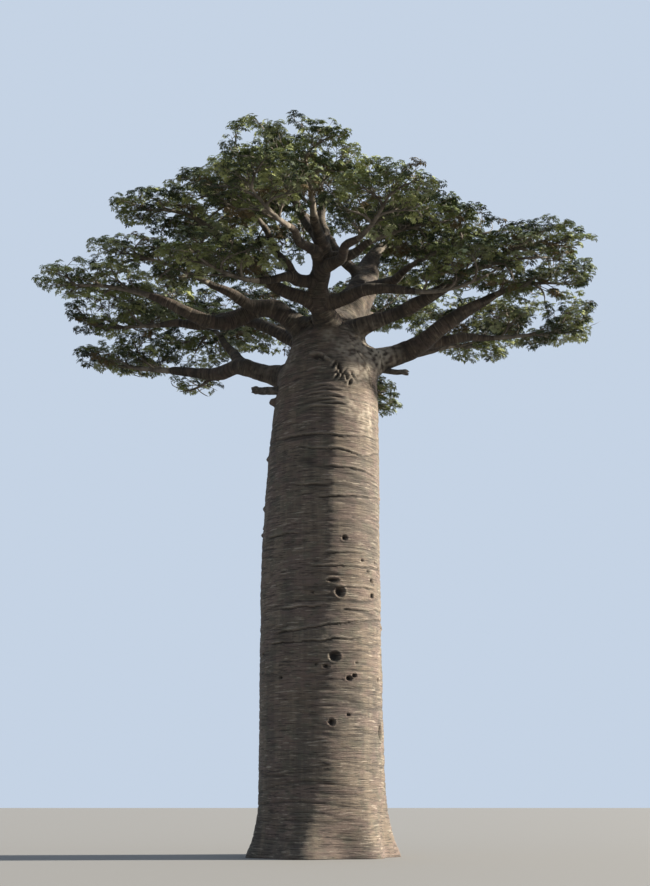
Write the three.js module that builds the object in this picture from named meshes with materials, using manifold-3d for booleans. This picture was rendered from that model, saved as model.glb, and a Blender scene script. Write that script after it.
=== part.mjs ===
// A tall old baobab in full leaf: a smooth, massive trunk that barely tapers, boughs that spread
// nearly level from its top, and a mass of leafy twigs at the tip of each bough.
// Millimetres, +Z up. The origin is the centre of the flat cut under the trunk, at ground level.
// +X is to the viewer's right and +Y away from the viewer. Sizes below are in metres unless named.
import * as THREE from "three";
import { mergeVertices } from "three/addons/utils/BufferGeometryUtils.js";
import Module from "manifold-3d";

const wasm = await Module();
wasm.setup();

// Driving dimensions
const metre = 1000;
const clearance = 0.3 / metre; // between solids that touch

// The trunk's outline: its radius and how far its middle leans to the right at each height.
const trunkOutline = [
  { height: 0, radius: 2.32, lean: 0 },
  { height: 0.5, radius: 2.16, lean: 0 },
  { height: 1.4, radius: 2.05, lean: 0 },
  { height: 3.4, radius: 2.0, lean: 0 },
  { height: 6, radius: 1.985, lean: 0 },
  { height: 9.3, radius: 1.965, lean: 0.02 },
  { height: 11.5, radius: 1.925, lean: 0.08 },
  { height: 13.1, radius: 1.87, lean: 0.15 },
  { height: 14.9, radius: 1.77, lean: 0.23 },
  { height: 15.9, radius: 1.64, lean: 0.28 },
  { height: 16.7, radius: 1.36, lean: 0.32 },
  { height: 17.3, radius: 1.06, lean: 0.3 },
  { height: 17.9, radius: 0.6, lean: 0.24 },
];
const trunkSides = 28;
const trunkSteps = 20;
const crowding = 0.35; // how much closer the trunk's rings sit low down
// The root flare's folds, which fade out by reach, and how unevenly they stand around the trunk
const flare = { lobes: 7, depth: 0.07, reach: 1.3, skew: 0.9 };
const swell = { lobes: 3, depth: 0.02, twist: 0.25 }; // how far the trunk is from round

// Each bough leaves its parent at a share of the parent's length, or the trunk at a height.
// azimuth (degrees from +X towards +Y), reach and height place its tip. Each of its bends lies at a
// share of the way and stands by its rise above the straight line. leaves gives the length, width
// and depth of the mass at its tip, and lift how far that mass stands above the bough's line.
const boughs = [
  { name: "low_left", from: "trunk", at: 15.6, azimuth: 158.5, reach: 5.8, height: 16.75,
    bends: [[0.4, 0.12], [0.56, 0.36], [0.72, 0.02]], girth: 0.4, tip: 0.13,
    leaves: [4.4, 3.8, 2.2], lift: 0.2 },
  { name: "left_main", from: "trunk", at: 16.7, azimuth: 190, reach: 5.95, height: 18.4,
    bends: [[0.33, 0.82], [0.62, -0.12]], girth: 0.38, tip: 0.12,
    leaves: [4.6, 3.6, 1.3], lift: 0.26 },
  { name: "right_low", from: "trunk", at: 15.8, azimuth: 353, reach: 6, height: 18.5,
    bends: [[0.33, -0.3], [0.66, -0.22]], girth: 0.46, tip: 0.13,
    leaves: [4, 4, 2.8], lift: 0.1 },
  { name: "right_main", from: "trunk", at: 17.15, azimuth: 332, reach: 5.05, height: 18.4,
    bends: [[0.35, -0.05], [0.7, -0.2]], girth: 0.32, tip: 0.13,
    leaves: [4.5, 3.8, 2.1], lift: 0.05 },
  { name: "front", from: "trunk", at: 17, azimuth: 267, reach: 4.15, height: 19.9,
    bends: [[0.3, -0.05], [0.6, 0.3]], girth: 0.44, tip: 0.13,
    leaves: [4.8, 4.4, 3], lift: 0.15 },
  { name: "back_high", from: "trunk", at: 17, azimuth: 38, reach: 2.4, height: 20.9,
    bends: [[0.5, -0.25]], girth: 0.84, tip: 0.26,
    leaves: [5.2, 5, 3.4], lift: 0.08 },
  { name: "back_left", from: "trunk", at: 16.7, azimuth: 104, reach: 4.55, height: 19.3,
    bends: [[0.5, -0.1]], girth: 0.27, tip: 0.11,
    leaves: [5.2, 5, 3.7], lift: 0.14 },
  { name: "right_back", from: "trunk", at: 16.3, azimuth: 36, reach: 5.35, height: 17.95,
    bends: [[0.5, -0.1]], girth: 0.3, tip: 0.11,
    leaves: [4.7, 4.3, 3.1], lift: 0.25 },
  { name: "back", from: "trunk", at: 16.6, azimuth: 76, reach: 5.5, height: 17,
    bends: [[0.5, -0.15]], girth: 0.3, tip: 0.11,
    leaves: [5.2, 3.6, 2], lift: 0 },
  { name: "back_left_far", from: "trunk", at: 16.5, azimuth: 136, reach: 6.25, height: 19.9,
    bends: [[0.5, 0.2]], girth: 0.28, tip: 0.1,
    leaves: [4.7, 4.1, 2.3], lift: 0.1 },
  { name: "low_left_upper", from: "low_left", at: 0.5, azimuth: 147, reach: 4.4, height: 18.15,
    bends: [[0.5, -0.1]], girth: 0.22, tip: 0.1,
    leaves: [4.8, 4, 2.5], lift: 0.1 },
  { name: "low_left_hanging", from: "low_left", at: 0.56, azimuth: 153, reach: 4.7, height: 16.3,
    bends: [[0.5, 0.04]], girth: 0.1, tip: 0.06,
    leaves: [2.1, 2, 1.3], lift: -0.1 },
  { name: "left_main_back", from: "left_main", at: 0.52, azimuth: 174, reach: 5.7, height: 17.95,
    bends: [[0.5, -0.08]], girth: 0.2, tip: 0.1,
    leaves: [4.3, 4, 2.5], lift: 0.14 },
  { name: "left_fork", from: "left_main", at: 0.33, azimuth: 202, reach: 4.1, height: 18.65,
    bends: [[0.5, -0.12]], girth: 0.24, tip: 0.11,
    leaves: [4.9, 3.7, 1.8], lift: 0.1 },
  { name: "left_high", from: "front", at: 0.3, azimuth: 217, reach: 4.5, height: 20.05,
    bends: [[0.5, -0.3]], girth: 0.24, tip: 0.11,
    leaves: [4.1, 3.7, 1.3], lift: 0.15 },
  { name: "front_left", from: "front", at: 0.48, azimuth: 239, reach: 3.9, height: 18,
    bends: [[0.5, 0.12]], girth: 0.2, tip: 0.1,
    leaves: [4.5, 3.8, 2], lift: 0 },
  { name: "front_left_upper", from: "front_left", at: 0.36, azimuth: 242, reach: 4, height: 19.85,
    bends: [[0.5, -0.1]], girth: 0.14, tip: 0.09,
    leaves: [4.3, 3.8, 2.1], lift: 0.1 },
  { name: "front_low", from: "front", at: 0.58, azimuth: 260, reach: 5.65, height: 18.9,
    bends: [[0.5, 0.15]], girth: 0.2, tip: 0.1,
    leaves: [4.5, 4, 2.2], lift: 0.1 },
  { name: "front_right", from: "front", at: 0.52, azimuth: 282, reach: 5.65, height: 18.5,
    bends: [[0.5, 0.1]], girth: 0.22, tip: 0.1,
    leaves: [4.5, 3.8, 2.1], lift: 0.1 },
  { name: "top_left", from: "front", at: 0.8, azimuth: 250, reach: 3.4, height: 21.6,
    bends: [[0.5, -0.2]], girth: 0.2, tip: 0.1,
    leaves: [2.5, 3.2, 2.8], lift: 0.3 },
  { name: "top_right", from: "front", at: 0.74, azimuth: 271, reach: 2.75, height: 21.3,
    bends: [[0.5, -0.2]], girth: 0.2, tip: 0.1,
    leaves: [2.9, 2.7, 2.8], lift: 0.3 },
  { name: "front_right_upper", from: "front", at: 0.63, azimuth: 297, reach: 3.5, height: 19.45,
    bends: [[0.5, -0.15]], girth: 0.2, tip: 0.1,
    leaves: [4.2, 3.6, 2.2], lift: 0.1 },
  { name: "elbow", from: "front", at: 0.34, azimuth: 321, reach: 4.05, height: 17.95,
    bends: [[0.3, 0.1], [0.58, 0.3]], girth: 0.25, tip: 0.1,
    leaves: [4.3, 3.6, 2.1], lift: 0.1 },
  { name: "top_back", from: "back_high", at: 0.72, azimuth: 88, reach: 0.3, height: 21.5,
    bends: [[0.5, -0.1]], girth: 0.2, tip: 0.1,
    leaves: [6, 5.6, 3.8], lift: -0.1 },
  { name: "right_top", from: "back_high", at: 0.6, azimuth: 341, reach: 3.3, height: 19.5,
    bends: [[0.5, -0.15]], girth: 0.22, tip: 0.1,
    leaves: [4.6, 4.2, 2.4], lift: 0.1 },
  { name: "right_main_upper", from: "right_main", at: 0.6, azimuth: 338, reach: 5.6, height: 18.95,
    bends: [[0.5, -0.1]], girth: 0.2, tip: 0.1,
    leaves: [4.5, 3.7, 1.9], lift: 0.1 },
  { name: "right_level", from: "right_low", at: 0.5, azimuth: 3, reach: 6.05, height: 17.35,
    bends: [[0.5, 0.12]], girth: 0.2, tip: 0.1,
    leaves: [4.5, 4, 2.7], lift: 0.15 },
  { name: "back_far", from: "back_high", at: 0.4, azimuth: 68, reach: 5.3, height: 20,
    bends: [[0.5, -0.1]], girth: 0.2, tip: 0.1,
    leaves: [5.2, 4.8, 3], lift: 0.3 },
];
const main = { sides: 8, steps: 8 }; // facets of a bough that leaves the trunk
const minor = { sides: 6, steps: 6 }; // facets of one that leaves another bough
// How much a bough swells where it leaves, how far out, and its girth at most there.
const collar = { share: 0.34, reach: 0.7, ofParent: 0.72 };
const boughTaper = 0.8;
// How far a bough wanders sideways, as a share of its length, and up and down, as a share of that
const waver = { share: 0.035, upright: 0.4, turns: 1.4 };

// Dead stubs of lost boughs: their place on the trunk, length and radius, and how steeply they stand.
const stubs = [
  { name: "stub_left", height: 15.1, azimuth: 186, length: 0.9, radius: 0.12, slope: 3 },
  { name: "stub_right", height: 16.25, azimuth: 356, length: 1.3, radius: 0.085, slope: -8 },
];
const stubForm = { base: 1.9, steps: 4, bends: [[0.8, 0.04]] }; // its girth in the trunk, as shares of radius

// The masses of leafy twigs
const mass = {
  seat: 0.36, // how far the mass's middle lies past the bough's tip, as a share of its length
  raise: 0.12, // and above it, as a share of its depth
  reach: 0.58, // the half-axes of its space, as shares of its length, width and depth
  breadth: 0.54,
  height: 0.54,
  twigs: 6, // side twigs on the stem
  stemEnd: 0.42, // how near the stem and the twigs come to the edge of the space
  twigEnd: 0.5,
  twigLevels: [0.05, 0.25, -0.35, -0.3], // how high the twigs end, by turns
  stemRadius: 0.6, // of the bough's tip
  twigRadius: 0.06,
  usual: 3.2, // the size of a full mass, to which a smaller one is scaled
  apart: 0.02, // between the spaces of two neighbours
};
// Each leaf stands for a whole spray, so it is larger than life.
const leaf = { count: 19, usual: 1.15, longest: 1.6, width: 0.78, thick: 0.06, tries: 6 };
leaf.seats = [0.3, 0.55, 0.8]; // where leaves sit along a side twig
leaf.pulls = [0, 0.14, 0.28]; // how far a leaf may draw back to find room
leaf.levels = [0.75, -0.15, 0.38, -0.6]; // how high the leaves end, by turns
leaf.deep = 2.45; // only a mass as deep as this uses all levels
leaf.edge = 0.95; // how near they come to the edge of the space
const goldenAngle = Math.PI * (3 - Math.sqrt(5));

const up = new THREE.Vector3(0, 0, 1);
const yAxis = new THREE.Vector3(0, 1, 0);
const radians = THREE.MathUtils.degToRad;

// A number from 0 to 1 that is always the same for the same seeds.
function chance(...seeds) {
  const mixed = seeds.reduce((sum, seed, i) => sum + seed * (12.9898 + 65.1127 * i), 4.137);
  const wild = Math.sin(mixed) * 43758.5453;
  return wild - Math.floor(wild);
}

const vary = (low, high, ...seeds) => low + (high - low) * chance(...seeds);

function heading(azimuth, slope) {
  const flat = Math.cos(radians(slope));
  const turn = radians(azimuth);
  return new THREE.Vector3(flat * Math.cos(turn), flat * Math.sin(turn), Math.sin(radians(slope)));
}

function polar(azimuth, reach, height) {
  return heading(azimuth, 0).multiplyScalar(reach).setZ(height);
}

// Turns a three.js geometry, with its sizes in metres, into a solid in millimetres.
function solidOf(geometry) {
  const bare = geometry.clone();
  bare.deleteAttribute("normal");
  bare.deleteAttribute("uv");
  bare.scale(metre, metre, metre);
  const merged = mergeVertices(bare, 1e-2);
  return new wasm.Manifold(
    new wasm.Mesh({
      numProp: 3,
      vertProperties: merged.attributes.position.array,
      triVerts: new Uint32Array(merged.index.array),
    }),
  );
}

function geometryOf(solid) {
  const mesh = solid.getMesh();
  const geometry = new THREE.BufferGeometry();
  geometry.setAttribute("position", new THREE.BufferAttribute(mesh.vertProperties, 3));
  geometry.setIndex(new THREE.BufferAttribute(mesh.triVerts, 1));
  geometry.computeVertexNormals();
  return geometry;
}

// The largest closed piece of a solid, so that loose scraps and sealed hollows go.
function largest(solid) {
  return solid.decompose().reduce((best, part) => (part.volume() > best.volume() ? part : best));
}

// The trunk's radius and lean at a height, along a smooth line through its outline.
const trunkRadiusLine = new THREE.SplineCurve(
  trunkOutline.map(({ height, radius }) => new THREE.Vector2(height, radius)),
);
const trunkLeanLine = new THREE.SplineCurve(
  trunkOutline.map(({ height, lean }) => new THREE.Vector2(height, lean)),
);

function outlineAt(line, height) {
  const last = trunkOutline.length - 1;
  const found = trunkOutline.findIndex((station) => station.height > height);
  const next = found < 0 ? last : Math.max(found, 1);
  const low = trunkOutline[next - 1].height;
  const share = (height - low) / (trunkOutline[next].height - low);
  return line.getPoint((next - 1 + Math.min(share, 1)) / last).y;
}

const trunkMiddle = (height) => new THREE.Vector3(outlineAt(trunkLeanLine, height), 0, height);

function trunkRadius(height, angle) {
  const round = outlineAt(trunkRadiusLine, height);
  const fold = Math.exp(-((height / flare.reach) ** 2)) * flare.depth;
  const folds = fold * Math.cos(flare.lobes * angle + flare.skew * Math.sin(2 * angle));
  const swelling = swell.depth * Math.cos(swell.lobes * angle + swell.twist * height);
  return round * (1 + folds + swelling);
}

// The trunk is a capped cylinder whose rings are set to the trunk's height, lean and radius.
function trunkSolid(margin = 0) {
  const form = new THREE.CylinderGeometry(1, 1, 1, trunkSides, trunkSteps);
  const place = form.attributes.position;
  const top = trunkOutline.at(-1).height;
  for (let i = 0; i < place.count; i++) {
    const share = place.getY(i) + 0.5;
    const height = top * share * (1 - crowding * (1 - share) ** 2);
    const angle = Math.atan2(-place.getZ(i), place.getX(i));
    const radius = Math.hypot(place.getX(i), place.getZ(i)) * (trunkRadius(height, angle) + margin);
    const middle = trunkMiddle(height);
    place.setXYZ(
      i,
      middle.x + radius * Math.cos(angle),
      middle.y + radius * Math.sin(angle),
      height + (share === 1 ? margin : 0),
    );
  }
  return solidOf(form);
}

// A bough's line: a smooth curve through its bends that also wanders a little.
class BoughLine extends THREE.Curve {
  constructor(start, bends, tip, seed) {
    super();
    const way = tip.clone().sub(start);
    const stations = bends.map(([share, rise]) => {
      const station = start.clone().addScaledVector(way, share);
      return station.setZ(station.z + rise);
    });
    this.bend = new THREE.CatmullRomCurve3([start, ...stations, tip], false, "centripetal");
    this.side = new THREE.Vector3().crossVectors(way, up).normalize();
    this.swing = waver.share * way.length();
    this.seed = seed;
  }

  getPoint(t, target = new THREE.Vector3()) {
    const hold = 4 * t * (1 - t) * this.swing;
    const turn = 2 * Math.PI * waver.turns * t;
    return this.bend
      .getPoint(t, target)
      .addScaledVector(this.side, hold * Math.sin(turn + 7 * chance(this.seed, 1)))
      .addScaledVector(up, waver.upright * hold * Math.sin(turn + 7 * chance(this.seed, 2)));
  }
}

// A tapering limb: a capped cylinder bent along a line, with its radius given at each share of it.
function limbSolid(line, radiusAt, sides, steps) {
  const form = new THREE.CylinderGeometry(1, 1, 1, sides, steps);
  const place = form.attributes.position;
  const frames = line.computeFrenetFrames(steps);
  const points = Array.from({ length: steps + 1 }, (_, i) => line.getPointAt(i / steps));
  const at = new THREE.Vector3();
  for (let i = 0; i < place.count; i++) {
    const step = Math.round((place.getY(i) + 0.5) * steps);
    const radius = radiusAt(step / steps);
    at.copy(points[step])
      .addScaledVector(frames.normals[step], radius * place.getX(i))
      .addScaledVector(frames.binormals[step], -radius * place.getZ(i));
    place.setXYZ(i, at.x, at.y, at.z);
  }
  return solidOf(form);
}

const trunk = { name: "trunk", solid: trunkSolid(), swollen: trunkSolid(clearance) };

// What is left of a solid after the trunk and the boughs that came before it.
function lessLimbs(solid, grown) {
  return largest([trunk, ...grown].reduce((left, other) => left.subtract(other.swollen), solid));
}

// Grows a bough from the middle of its parent.
function growBough(bough, index, grown) {
  const tip = polar(bough.azimuth, bough.reach, bough.height);
  const parent = grown.find(({ name }) => name === bough.from);
  const start = parent ? parent.line.getPointAt(bough.at) : trunkMiddle(bough.at);
  const line = new BoughLine(start, bough.bends, tip, index);
  const length = line.getLength();
  const girth = parent ? Math.min(bough.girth, collar.ofParent * parent.radiusAt(bough.at)) : bough.girth;
  const radiusAt = (share) => {
    const swelling = collar.share * Math.exp(-((share * length) / collar.reach));
    return girth * (1 + swelling) * (1 - share) ** boughTaper + bough.tip * share;
  };
  const { sides, steps } = parent ? minor : main;
  const solid = lessLimbs(limbSolid(line, radiusAt, sides, steps), grown);
  const swollen = limbSolid(line, (share) => radiusAt(share) + clearance, sides, steps);
  return { ...bough, index, line, radiusAt, solid, swollen };
}

function growStub(stub, index, grown) {
  const start = trunkMiddle(stub.height);
  const out = heading(stub.azimuth, stub.slope);
  const buried = trunkRadius(stub.height, radians(stub.azimuth));
  const tip = start.clone().addScaledVector(out, buried + stub.length);
  const line = new BoughLine(start, stubForm.bends, tip, boughs.length + index);
  const radiusAt = (share) => stub.radius * (stubForm.base - share);
  const solid = limbSolid(line, radiusAt, minor.sides, stubForm.steps);
  return { ...stub, solid: lessLimbs(solid, grown) };
}

// The space of a mass: a flattened round space that lies along its bough's heading.
function spaceOf(bough) {
  const [length, width, depth] = bough.leaves;
  const tip = bough.line.getPointAt(1);
  const along = bough.line.getTangentAt(1).setZ(0).normalize();
  const across = new THREE.Vector3().crossVectors(up, along);
  const middle = tip.clone().addScaledVector(along, mass.seat * length);
  middle.z += (bough.lift + mass.raise) * depth;
  const half = new THREE.Vector3(mass.reach * length, mass.breadth * width, mass.height * depth);
  const local = (point) => {
    const out = point.clone().sub(middle);
    return new THREE.Vector3(out.dot(along) / half.x, out.dot(across) / half.y, out.z / half.z);
  };
  const world = (x, y, z) =>
    middle
      .clone()
      .addScaledVector(along, x * half.x)
      .addScaledVector(across, y * half.y)
      .addScaledVector(up, z * half.z);
  return { name: bough.name, depth, tip, along, middle, half, local, world };
}

// Whether a point lies in a space and on its own side of the halfway plane to every other space.
function keeps(space, point, spaces) {
  if (space.local(point).length() > 1) return false;
  return spaces.every((other) => {
    if (other === space) return true;
    const between = other.middle.clone().sub(space.middle);
    const halfway = between.length() / 2 - mass.apart;
    return point.clone().sub(space.middle).dot(between.normalize()) < halfway;
  });
}

// A straight side twig: a three-sided spike from its seat to its tip.
function spike(from, to, radius) {
  const way = to.clone().sub(from);
  const form = new THREE.ConeGeometry(radius, way.length(), 3, 1);
  form.translate(0, way.length() / 2, 0);
  form.applyQuaternion(new THREE.Quaternion().setFromUnitVectors(yAxis, way.normalize()));
  return form.translate(from.x, from.y, from.z);
}

// The stem of a mass carries on from its bough's tip, with a hair's breadth between them.
function stemOf(bough, space) {
  const way = bough.line.getTangentAt(1);
  const start = space.tip.clone().addScaledVector(way, clearance);
  const end = space.world(mass.stemEnd, 0, vary(-0.35, 0, bough.index, 3));
  const middle = start.clone().addScaledVector(way, start.distanceTo(end) / 2);
  const line = new THREE.QuadraticBezierCurve3(start, middle, end);
  const thick = mass.stemRadius * bough.tip;
  const solid = limbSolid(line, (share) => thick * (1 - share) + mass.twigRadius * share, 3, 3);
  return { name: bough.name, line, solid };
}

// Side twigs leave the stem by turns to the left and right, high and low.
function twigsOf(bough, space, stem) {
  return Array.from({ length: mass.twigs }, (_, i) => {
    const from = stem.line.getPoint((i + 0.5) / mass.twigs);
    const x = space.local(from).x + vary(0.05, 0.3, bough.index, i, 5);
    const y = (i % 2 ? 1 : -1) * mass.twigEnd * vary(0.8, 1.15, bough.index, i, 4);
    const z = mass.twigLevels[i % mass.twigLevels.length] + vary(-0.1, 0.1, bough.index, i, 6);
    return { from, to: space.world(x, y, z) };
  });
}

// The places that the leaves of a mass reach: a spiral over its whole width, high and low by turns.
function leafPlace(space, seed, i, count) {
  const levels = space.depth > leaf.deep ? leaf.levels : leaf.levels.slice(0, -1);
  const out = Math.sqrt((i + 0.6) / count);
  const turn = i * goldenAngle + seed;
  const rise = Math.sqrt(1 - Math.min(out, 0.97) ** 2);
  const level = levels[i % levels.length] * rise + vary(-0.1, 0.1, seed, i, 11);
  const edge = leaf.edge * out;
  return space.world(edge * Math.cos(turn), edge * Math.sin(turn), leaf.edge * level);
}

// A leaf is a flat, eight-faced lozenge that reaches from its seat on a twig to its own place.
function leafForm(seat, place, roll, size) {
  const way = place.clone().sub(seat);
  const length = Math.min(way.length(), leaf.longest * size);
  const width = leaf.width * size * Math.sqrt(length / (leaf.longest * size));
  const form = new THREE.OctahedronGeometry(1, 0);
  form.scale(length / 2, width / 2, leaf.thick / 2);
  form.translate(length / 2, 0, 0);
  const out = way.normalize();
  const across = new THREE.Vector3().crossVectors(up, out).normalize();
  const turn = new THREE.Matrix4().makeBasis(out, across, new THREE.Vector3().crossVectors(out, across));
  form.applyMatrix4(new THREE.Matrix4().makeRotationX(roll));
  return form.applyMatrix4(turn.setPosition(seat));
}

function cornersOf(geometry) {
  const place = geometry.attributes.position;
  return Array.from({ length: place.count }, (_, i) => new THREE.Vector3().fromBufferAttribute(place, i));
}

// Grows the twigs and leaves of a mass. What would leave its space or touch a limb is left out, and
// so is a leaf that would cut another leaf or twig from each of the free seats that suit it best.
function growMass(bough, spaces, stems, limbs) {
  const space = spaces.find(({ name }) => name === bough.name);
  const stem = stems.find(({ name }) => name === bough.name);
  const others = [...limbs, ...stems.filter((other) => other !== stem).map(({ solid }) => solid)];
  const size = Math.min(1, Math.hypot(space.half.x, space.half.y) / mass.usual);
  const wood = [stem.solid];
  const leaves = [];
  let seats = [0.5, 0.75, 0.95].map((share) => ({ at: stem.line.getPoint(share), wood: stem.solid }));
  const add = (form, list, clearOf) => {
    if (!cornersOf(form).every((corner) => keeps(space, corner, spaces))) return false;
    const solid = solidOf(form);
    if (!clearOf.every((other) => solid.intersect(other).isEmpty())) return false;
    list.push(solid);
    return true;
  };
  for (const { from, to } of twigsOf(bough, space, stem)) {
    if (!add(spike(from, to, size * mass.twigRadius), wood, others)) continue;
    for (const share of leaf.seats) seats.push({ at: from.clone().lerp(to, share), wood: wood.at(-1) });
  }
  const count = Math.round(leaf.count * size * size);
  for (let i = 0; i < count; i++) {
    const goal = leafPlace(space, bough.index, i, count);
    const roll = vary(-0.6, 0.6, bough.index, i, 9);
    for (const pull of leaf.pulls) {
      const place = goal.clone().lerp(space.middle, pull);
      const fit = ({ at }) => Math.abs(at.distanceTo(place) - leaf.usual * size);
      const best = [...seats].sort((a, b) => fit(a) - fit(b)).slice(0, leaf.tries);
      const seat = best.find((one) => {
        const rest = wood.filter((solid) => solid !== one.wood);
        return add(leafForm(one.at, place, roll, size), leaves, [...others, ...leaves, ...rest]);
      });
      seats = seats.filter((one) => one !== seat);
      if (seat) break;
    }
  }
  return largest(wasm.Manifold.union([...wood, ...leaves]));
}

const bark = new THREE.MeshStandardMaterial({ color: 0x8d7f70, roughness: 0.9, metalness: 0 });
const deadWood = new THREE.MeshStandardMaterial({ color: 0x6f665c, roughness: 0.95, metalness: 0 });
const foliage = new THREE.MeshStandardMaterial({ color: 0x4f6136, roughness: 0.75, metalness: 0 });

const baobab = new THREE.Group();
baobab.name = "baobab_tree";

function addNode(name, solid, material) {
  const mesh = new THREE.Mesh(geometryOf(solid), material);
  mesh.name = name;
  baobab.add(mesh);
}

const grown = [];
boughs.forEach((bough, index) => grown.push(growBough(bough, index, grown)));
const deadStubs = stubs.map((stub, index) => growStub(stub, index, grown));
const limbs = [...[trunk, ...grown].map(({ swollen }) => swollen), ...deadStubs.map(({ solid }) => solid)];
const spaces = grown.map(spaceOf);
const stems = grown.map((bough, i) => stemOf(bough, spaces[i]));

addNode("trunk", trunk.solid, bark);
for (const { name, solid } of grown) addNode(`bough_${name}`, solid, bark);
for (const { name, solid } of deadStubs) addNode(name, solid, deadWood);
for (const bough of grown) {
  addNode(`leaves_${bough.name}`, growMass(bough, spaces, stems, limbs), foliage);
}

export default baobab;
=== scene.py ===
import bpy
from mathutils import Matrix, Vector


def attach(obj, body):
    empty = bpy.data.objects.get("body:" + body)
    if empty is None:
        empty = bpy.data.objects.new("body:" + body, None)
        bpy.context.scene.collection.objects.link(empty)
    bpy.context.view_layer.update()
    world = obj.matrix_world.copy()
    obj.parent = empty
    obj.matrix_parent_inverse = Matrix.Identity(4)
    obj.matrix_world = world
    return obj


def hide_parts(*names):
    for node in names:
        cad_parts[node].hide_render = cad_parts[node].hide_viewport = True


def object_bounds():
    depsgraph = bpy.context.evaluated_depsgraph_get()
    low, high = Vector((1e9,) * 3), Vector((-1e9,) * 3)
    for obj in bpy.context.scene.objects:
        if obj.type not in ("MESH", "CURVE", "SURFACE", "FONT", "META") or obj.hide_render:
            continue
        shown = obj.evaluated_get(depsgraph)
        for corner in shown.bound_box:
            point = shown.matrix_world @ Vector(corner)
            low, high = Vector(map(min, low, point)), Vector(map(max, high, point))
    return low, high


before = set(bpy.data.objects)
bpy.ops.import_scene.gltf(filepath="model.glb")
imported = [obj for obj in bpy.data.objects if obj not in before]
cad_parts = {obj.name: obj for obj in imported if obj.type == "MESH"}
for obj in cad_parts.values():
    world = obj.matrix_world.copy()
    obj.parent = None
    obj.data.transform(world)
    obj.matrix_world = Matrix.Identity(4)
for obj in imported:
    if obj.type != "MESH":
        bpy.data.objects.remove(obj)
cadBox = [list(corner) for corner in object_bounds()]

import math

import bmesh
import bpy
import numpy as np
from mathutils import noise

print("frame loaded with", len(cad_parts), "nodes")

# A tall old baobab in full leaf. Metres, +Z up, +X to the viewer's right and +Y away from the viewer.

# Camera, light and floor
photoCamera = {
    "place": (0.14, -42.7, 1.68),
    "pitch": 15.4,  # degrees above level
    "focal": 1300,  # pixels of the photograph
    "imageHeight": 886,  # pixels
    "film": 36,  # millimetres along the image's height
    "sees": 1000,  # metres
}
studio = {
    "floorSize": 600,
    "floorColour": (0.155, 0.152, 0.146),
    "floorRoughness": 0.95,
    "skyColour": (0.60, 0.70, 0.84),
    "skyStrength": 0.93,
    "sunAzimuth": 5,  # where the light comes from, in degrees from +X towards +Y
    "sunHeight": 20,
    "sunStrength": 16.3,
    "sunSpread": 3,  # degrees across, for soft edges to the shadows
    "sunColour": (1.0, 0.92, 0.79),
}


def addObject(name, data):
    made = bpy.data.objects.new(name, data)
    bpy.context.scene.collection.objects.link(made)
    return made


def meshFrom(bm, name):
    mesh = bpy.data.meshes.new(name)
    bm.to_mesh(mesh)
    bm.free()
    return mesh


def addCamera():
    camera = addObject("photo_camera", bpy.data.cameras.new("photo_camera"))
    camera.data.sensor_fit = "VERTICAL"
    camera.data.sensor_height = photoCamera["film"]
    camera.data.lens = photoCamera["film"] * photoCamera["focal"] / photoCamera["imageHeight"]
    camera.data.clip_end = photoCamera["sees"]
    camera.location = photoCamera["place"]
    camera.rotation_euler = (math.radians(90 + photoCamera["pitch"]), 0, 0)
    bpy.context.scene.camera = camera


def addLight():
    world = bpy.data.worlds.new("studio_sky")
    world.use_nodes = True
    background = world.node_tree.nodes["Background"]
    background.inputs["Color"].default_value = (*studio["skyColour"], 1)
    background.inputs["Strength"].default_value = studio["skyStrength"]
    bpy.context.scene.world = world
    sun = addObject("key_light", bpy.data.lights.new("key_light", "SUN"))
    sun.data.energy = studio["sunStrength"]
    sun.data.angle = math.radians(studio["sunSpread"])
    sun.data.color = studio["sunColour"]
    sun.rotation_euler = (0, math.radians(90 - studio["sunHeight"]), math.radians(studio["sunAzimuth"]))
    bpy.context.scene.view_settings.view_transform = "Standard"


def addFloor():
    bm = bmesh.new()
    bmesh.ops.create_grid(bm, x_segments=1, y_segments=1, size=studio["floorSize"] / 2)
    floor = addObject("floor", meshFrom(bm, "floor"))
    matte = bpy.data.materials.new("pale_floor")
    matte.use_nodes = True
    shader = matte.node_tree.nodes["Principled BSDF"]
    shader.inputs["Base Color"].default_value = (*studio["floorColour"], 1)
    shader.inputs["Roughness"].default_value = studio["floorRoughness"]
    floor.data.materials.append(matte)


addCamera()
addLight()
addFloor()
print("camera, light and floor are up")

# Finishes
barkFinish = {
    "shade": (0.06, 0.05, 0.04),
    "warm": (0.103, 0.075, 0.054),
    "pale": (0.168, 0.132, 0.094),
    "blush": (0.105, 0.07, 0.06),
    # darkest bark colour: painted shade in creases, cracks and grooves, and also the boughs' own dark
    # mottle
    "crease_shade_and_mottle": (0.020, 0.015, 0.011),
    "pale_wear_and_highlight": (0.40, 0.345, 0.27),  # pale lips of folds and worn patches: painted highlights, painted sunlight and wear
    "moss": (0.068, 0.065, 0.045),
    "limb": (0.62, 0.6, 0.56),  # what the boughs' colour is multiplied by: painted shade for the crown's shadow over them
    # near-black: painted shade inside the pits
    "pit": (0.012, 0.009, 0.007),
    "roughness": (0.82, 0.97),
    "foldBump": 0.05,  # metres
    "grainBump": 0.008,
}
deadFinish = {
    "dark": (0.04, 0.035, 0.03), "light": (0.13, 0.11, 0.09),
    "roughness": 0.95, "grain": 5, "bump": 0.01,
}
twigFinish = {
    "dark": (0.06, 0.05, 0.038), "light": (0.17, 0.145, 0.115),
    "roughness": 0.9, "grain": 2.5, "bump": 0.01,
}
leafFinish = {
    # sunny and deep are lighter and darker copies of the olive green: painted sunlight and painted shade
    "sunny": (0.262, 0.290, 0.118),
    "olive": (0.125, 0.148, 0.052),
    "deep": (0.036, 0.050, 0.021),
    "dusty": (0.196, 0.222, 0.118),
    "russet": (0.100, 0.074, 0.036),
    "roughness": 0.58,
    "sheen": 0.25,  # specular level
}


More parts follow.
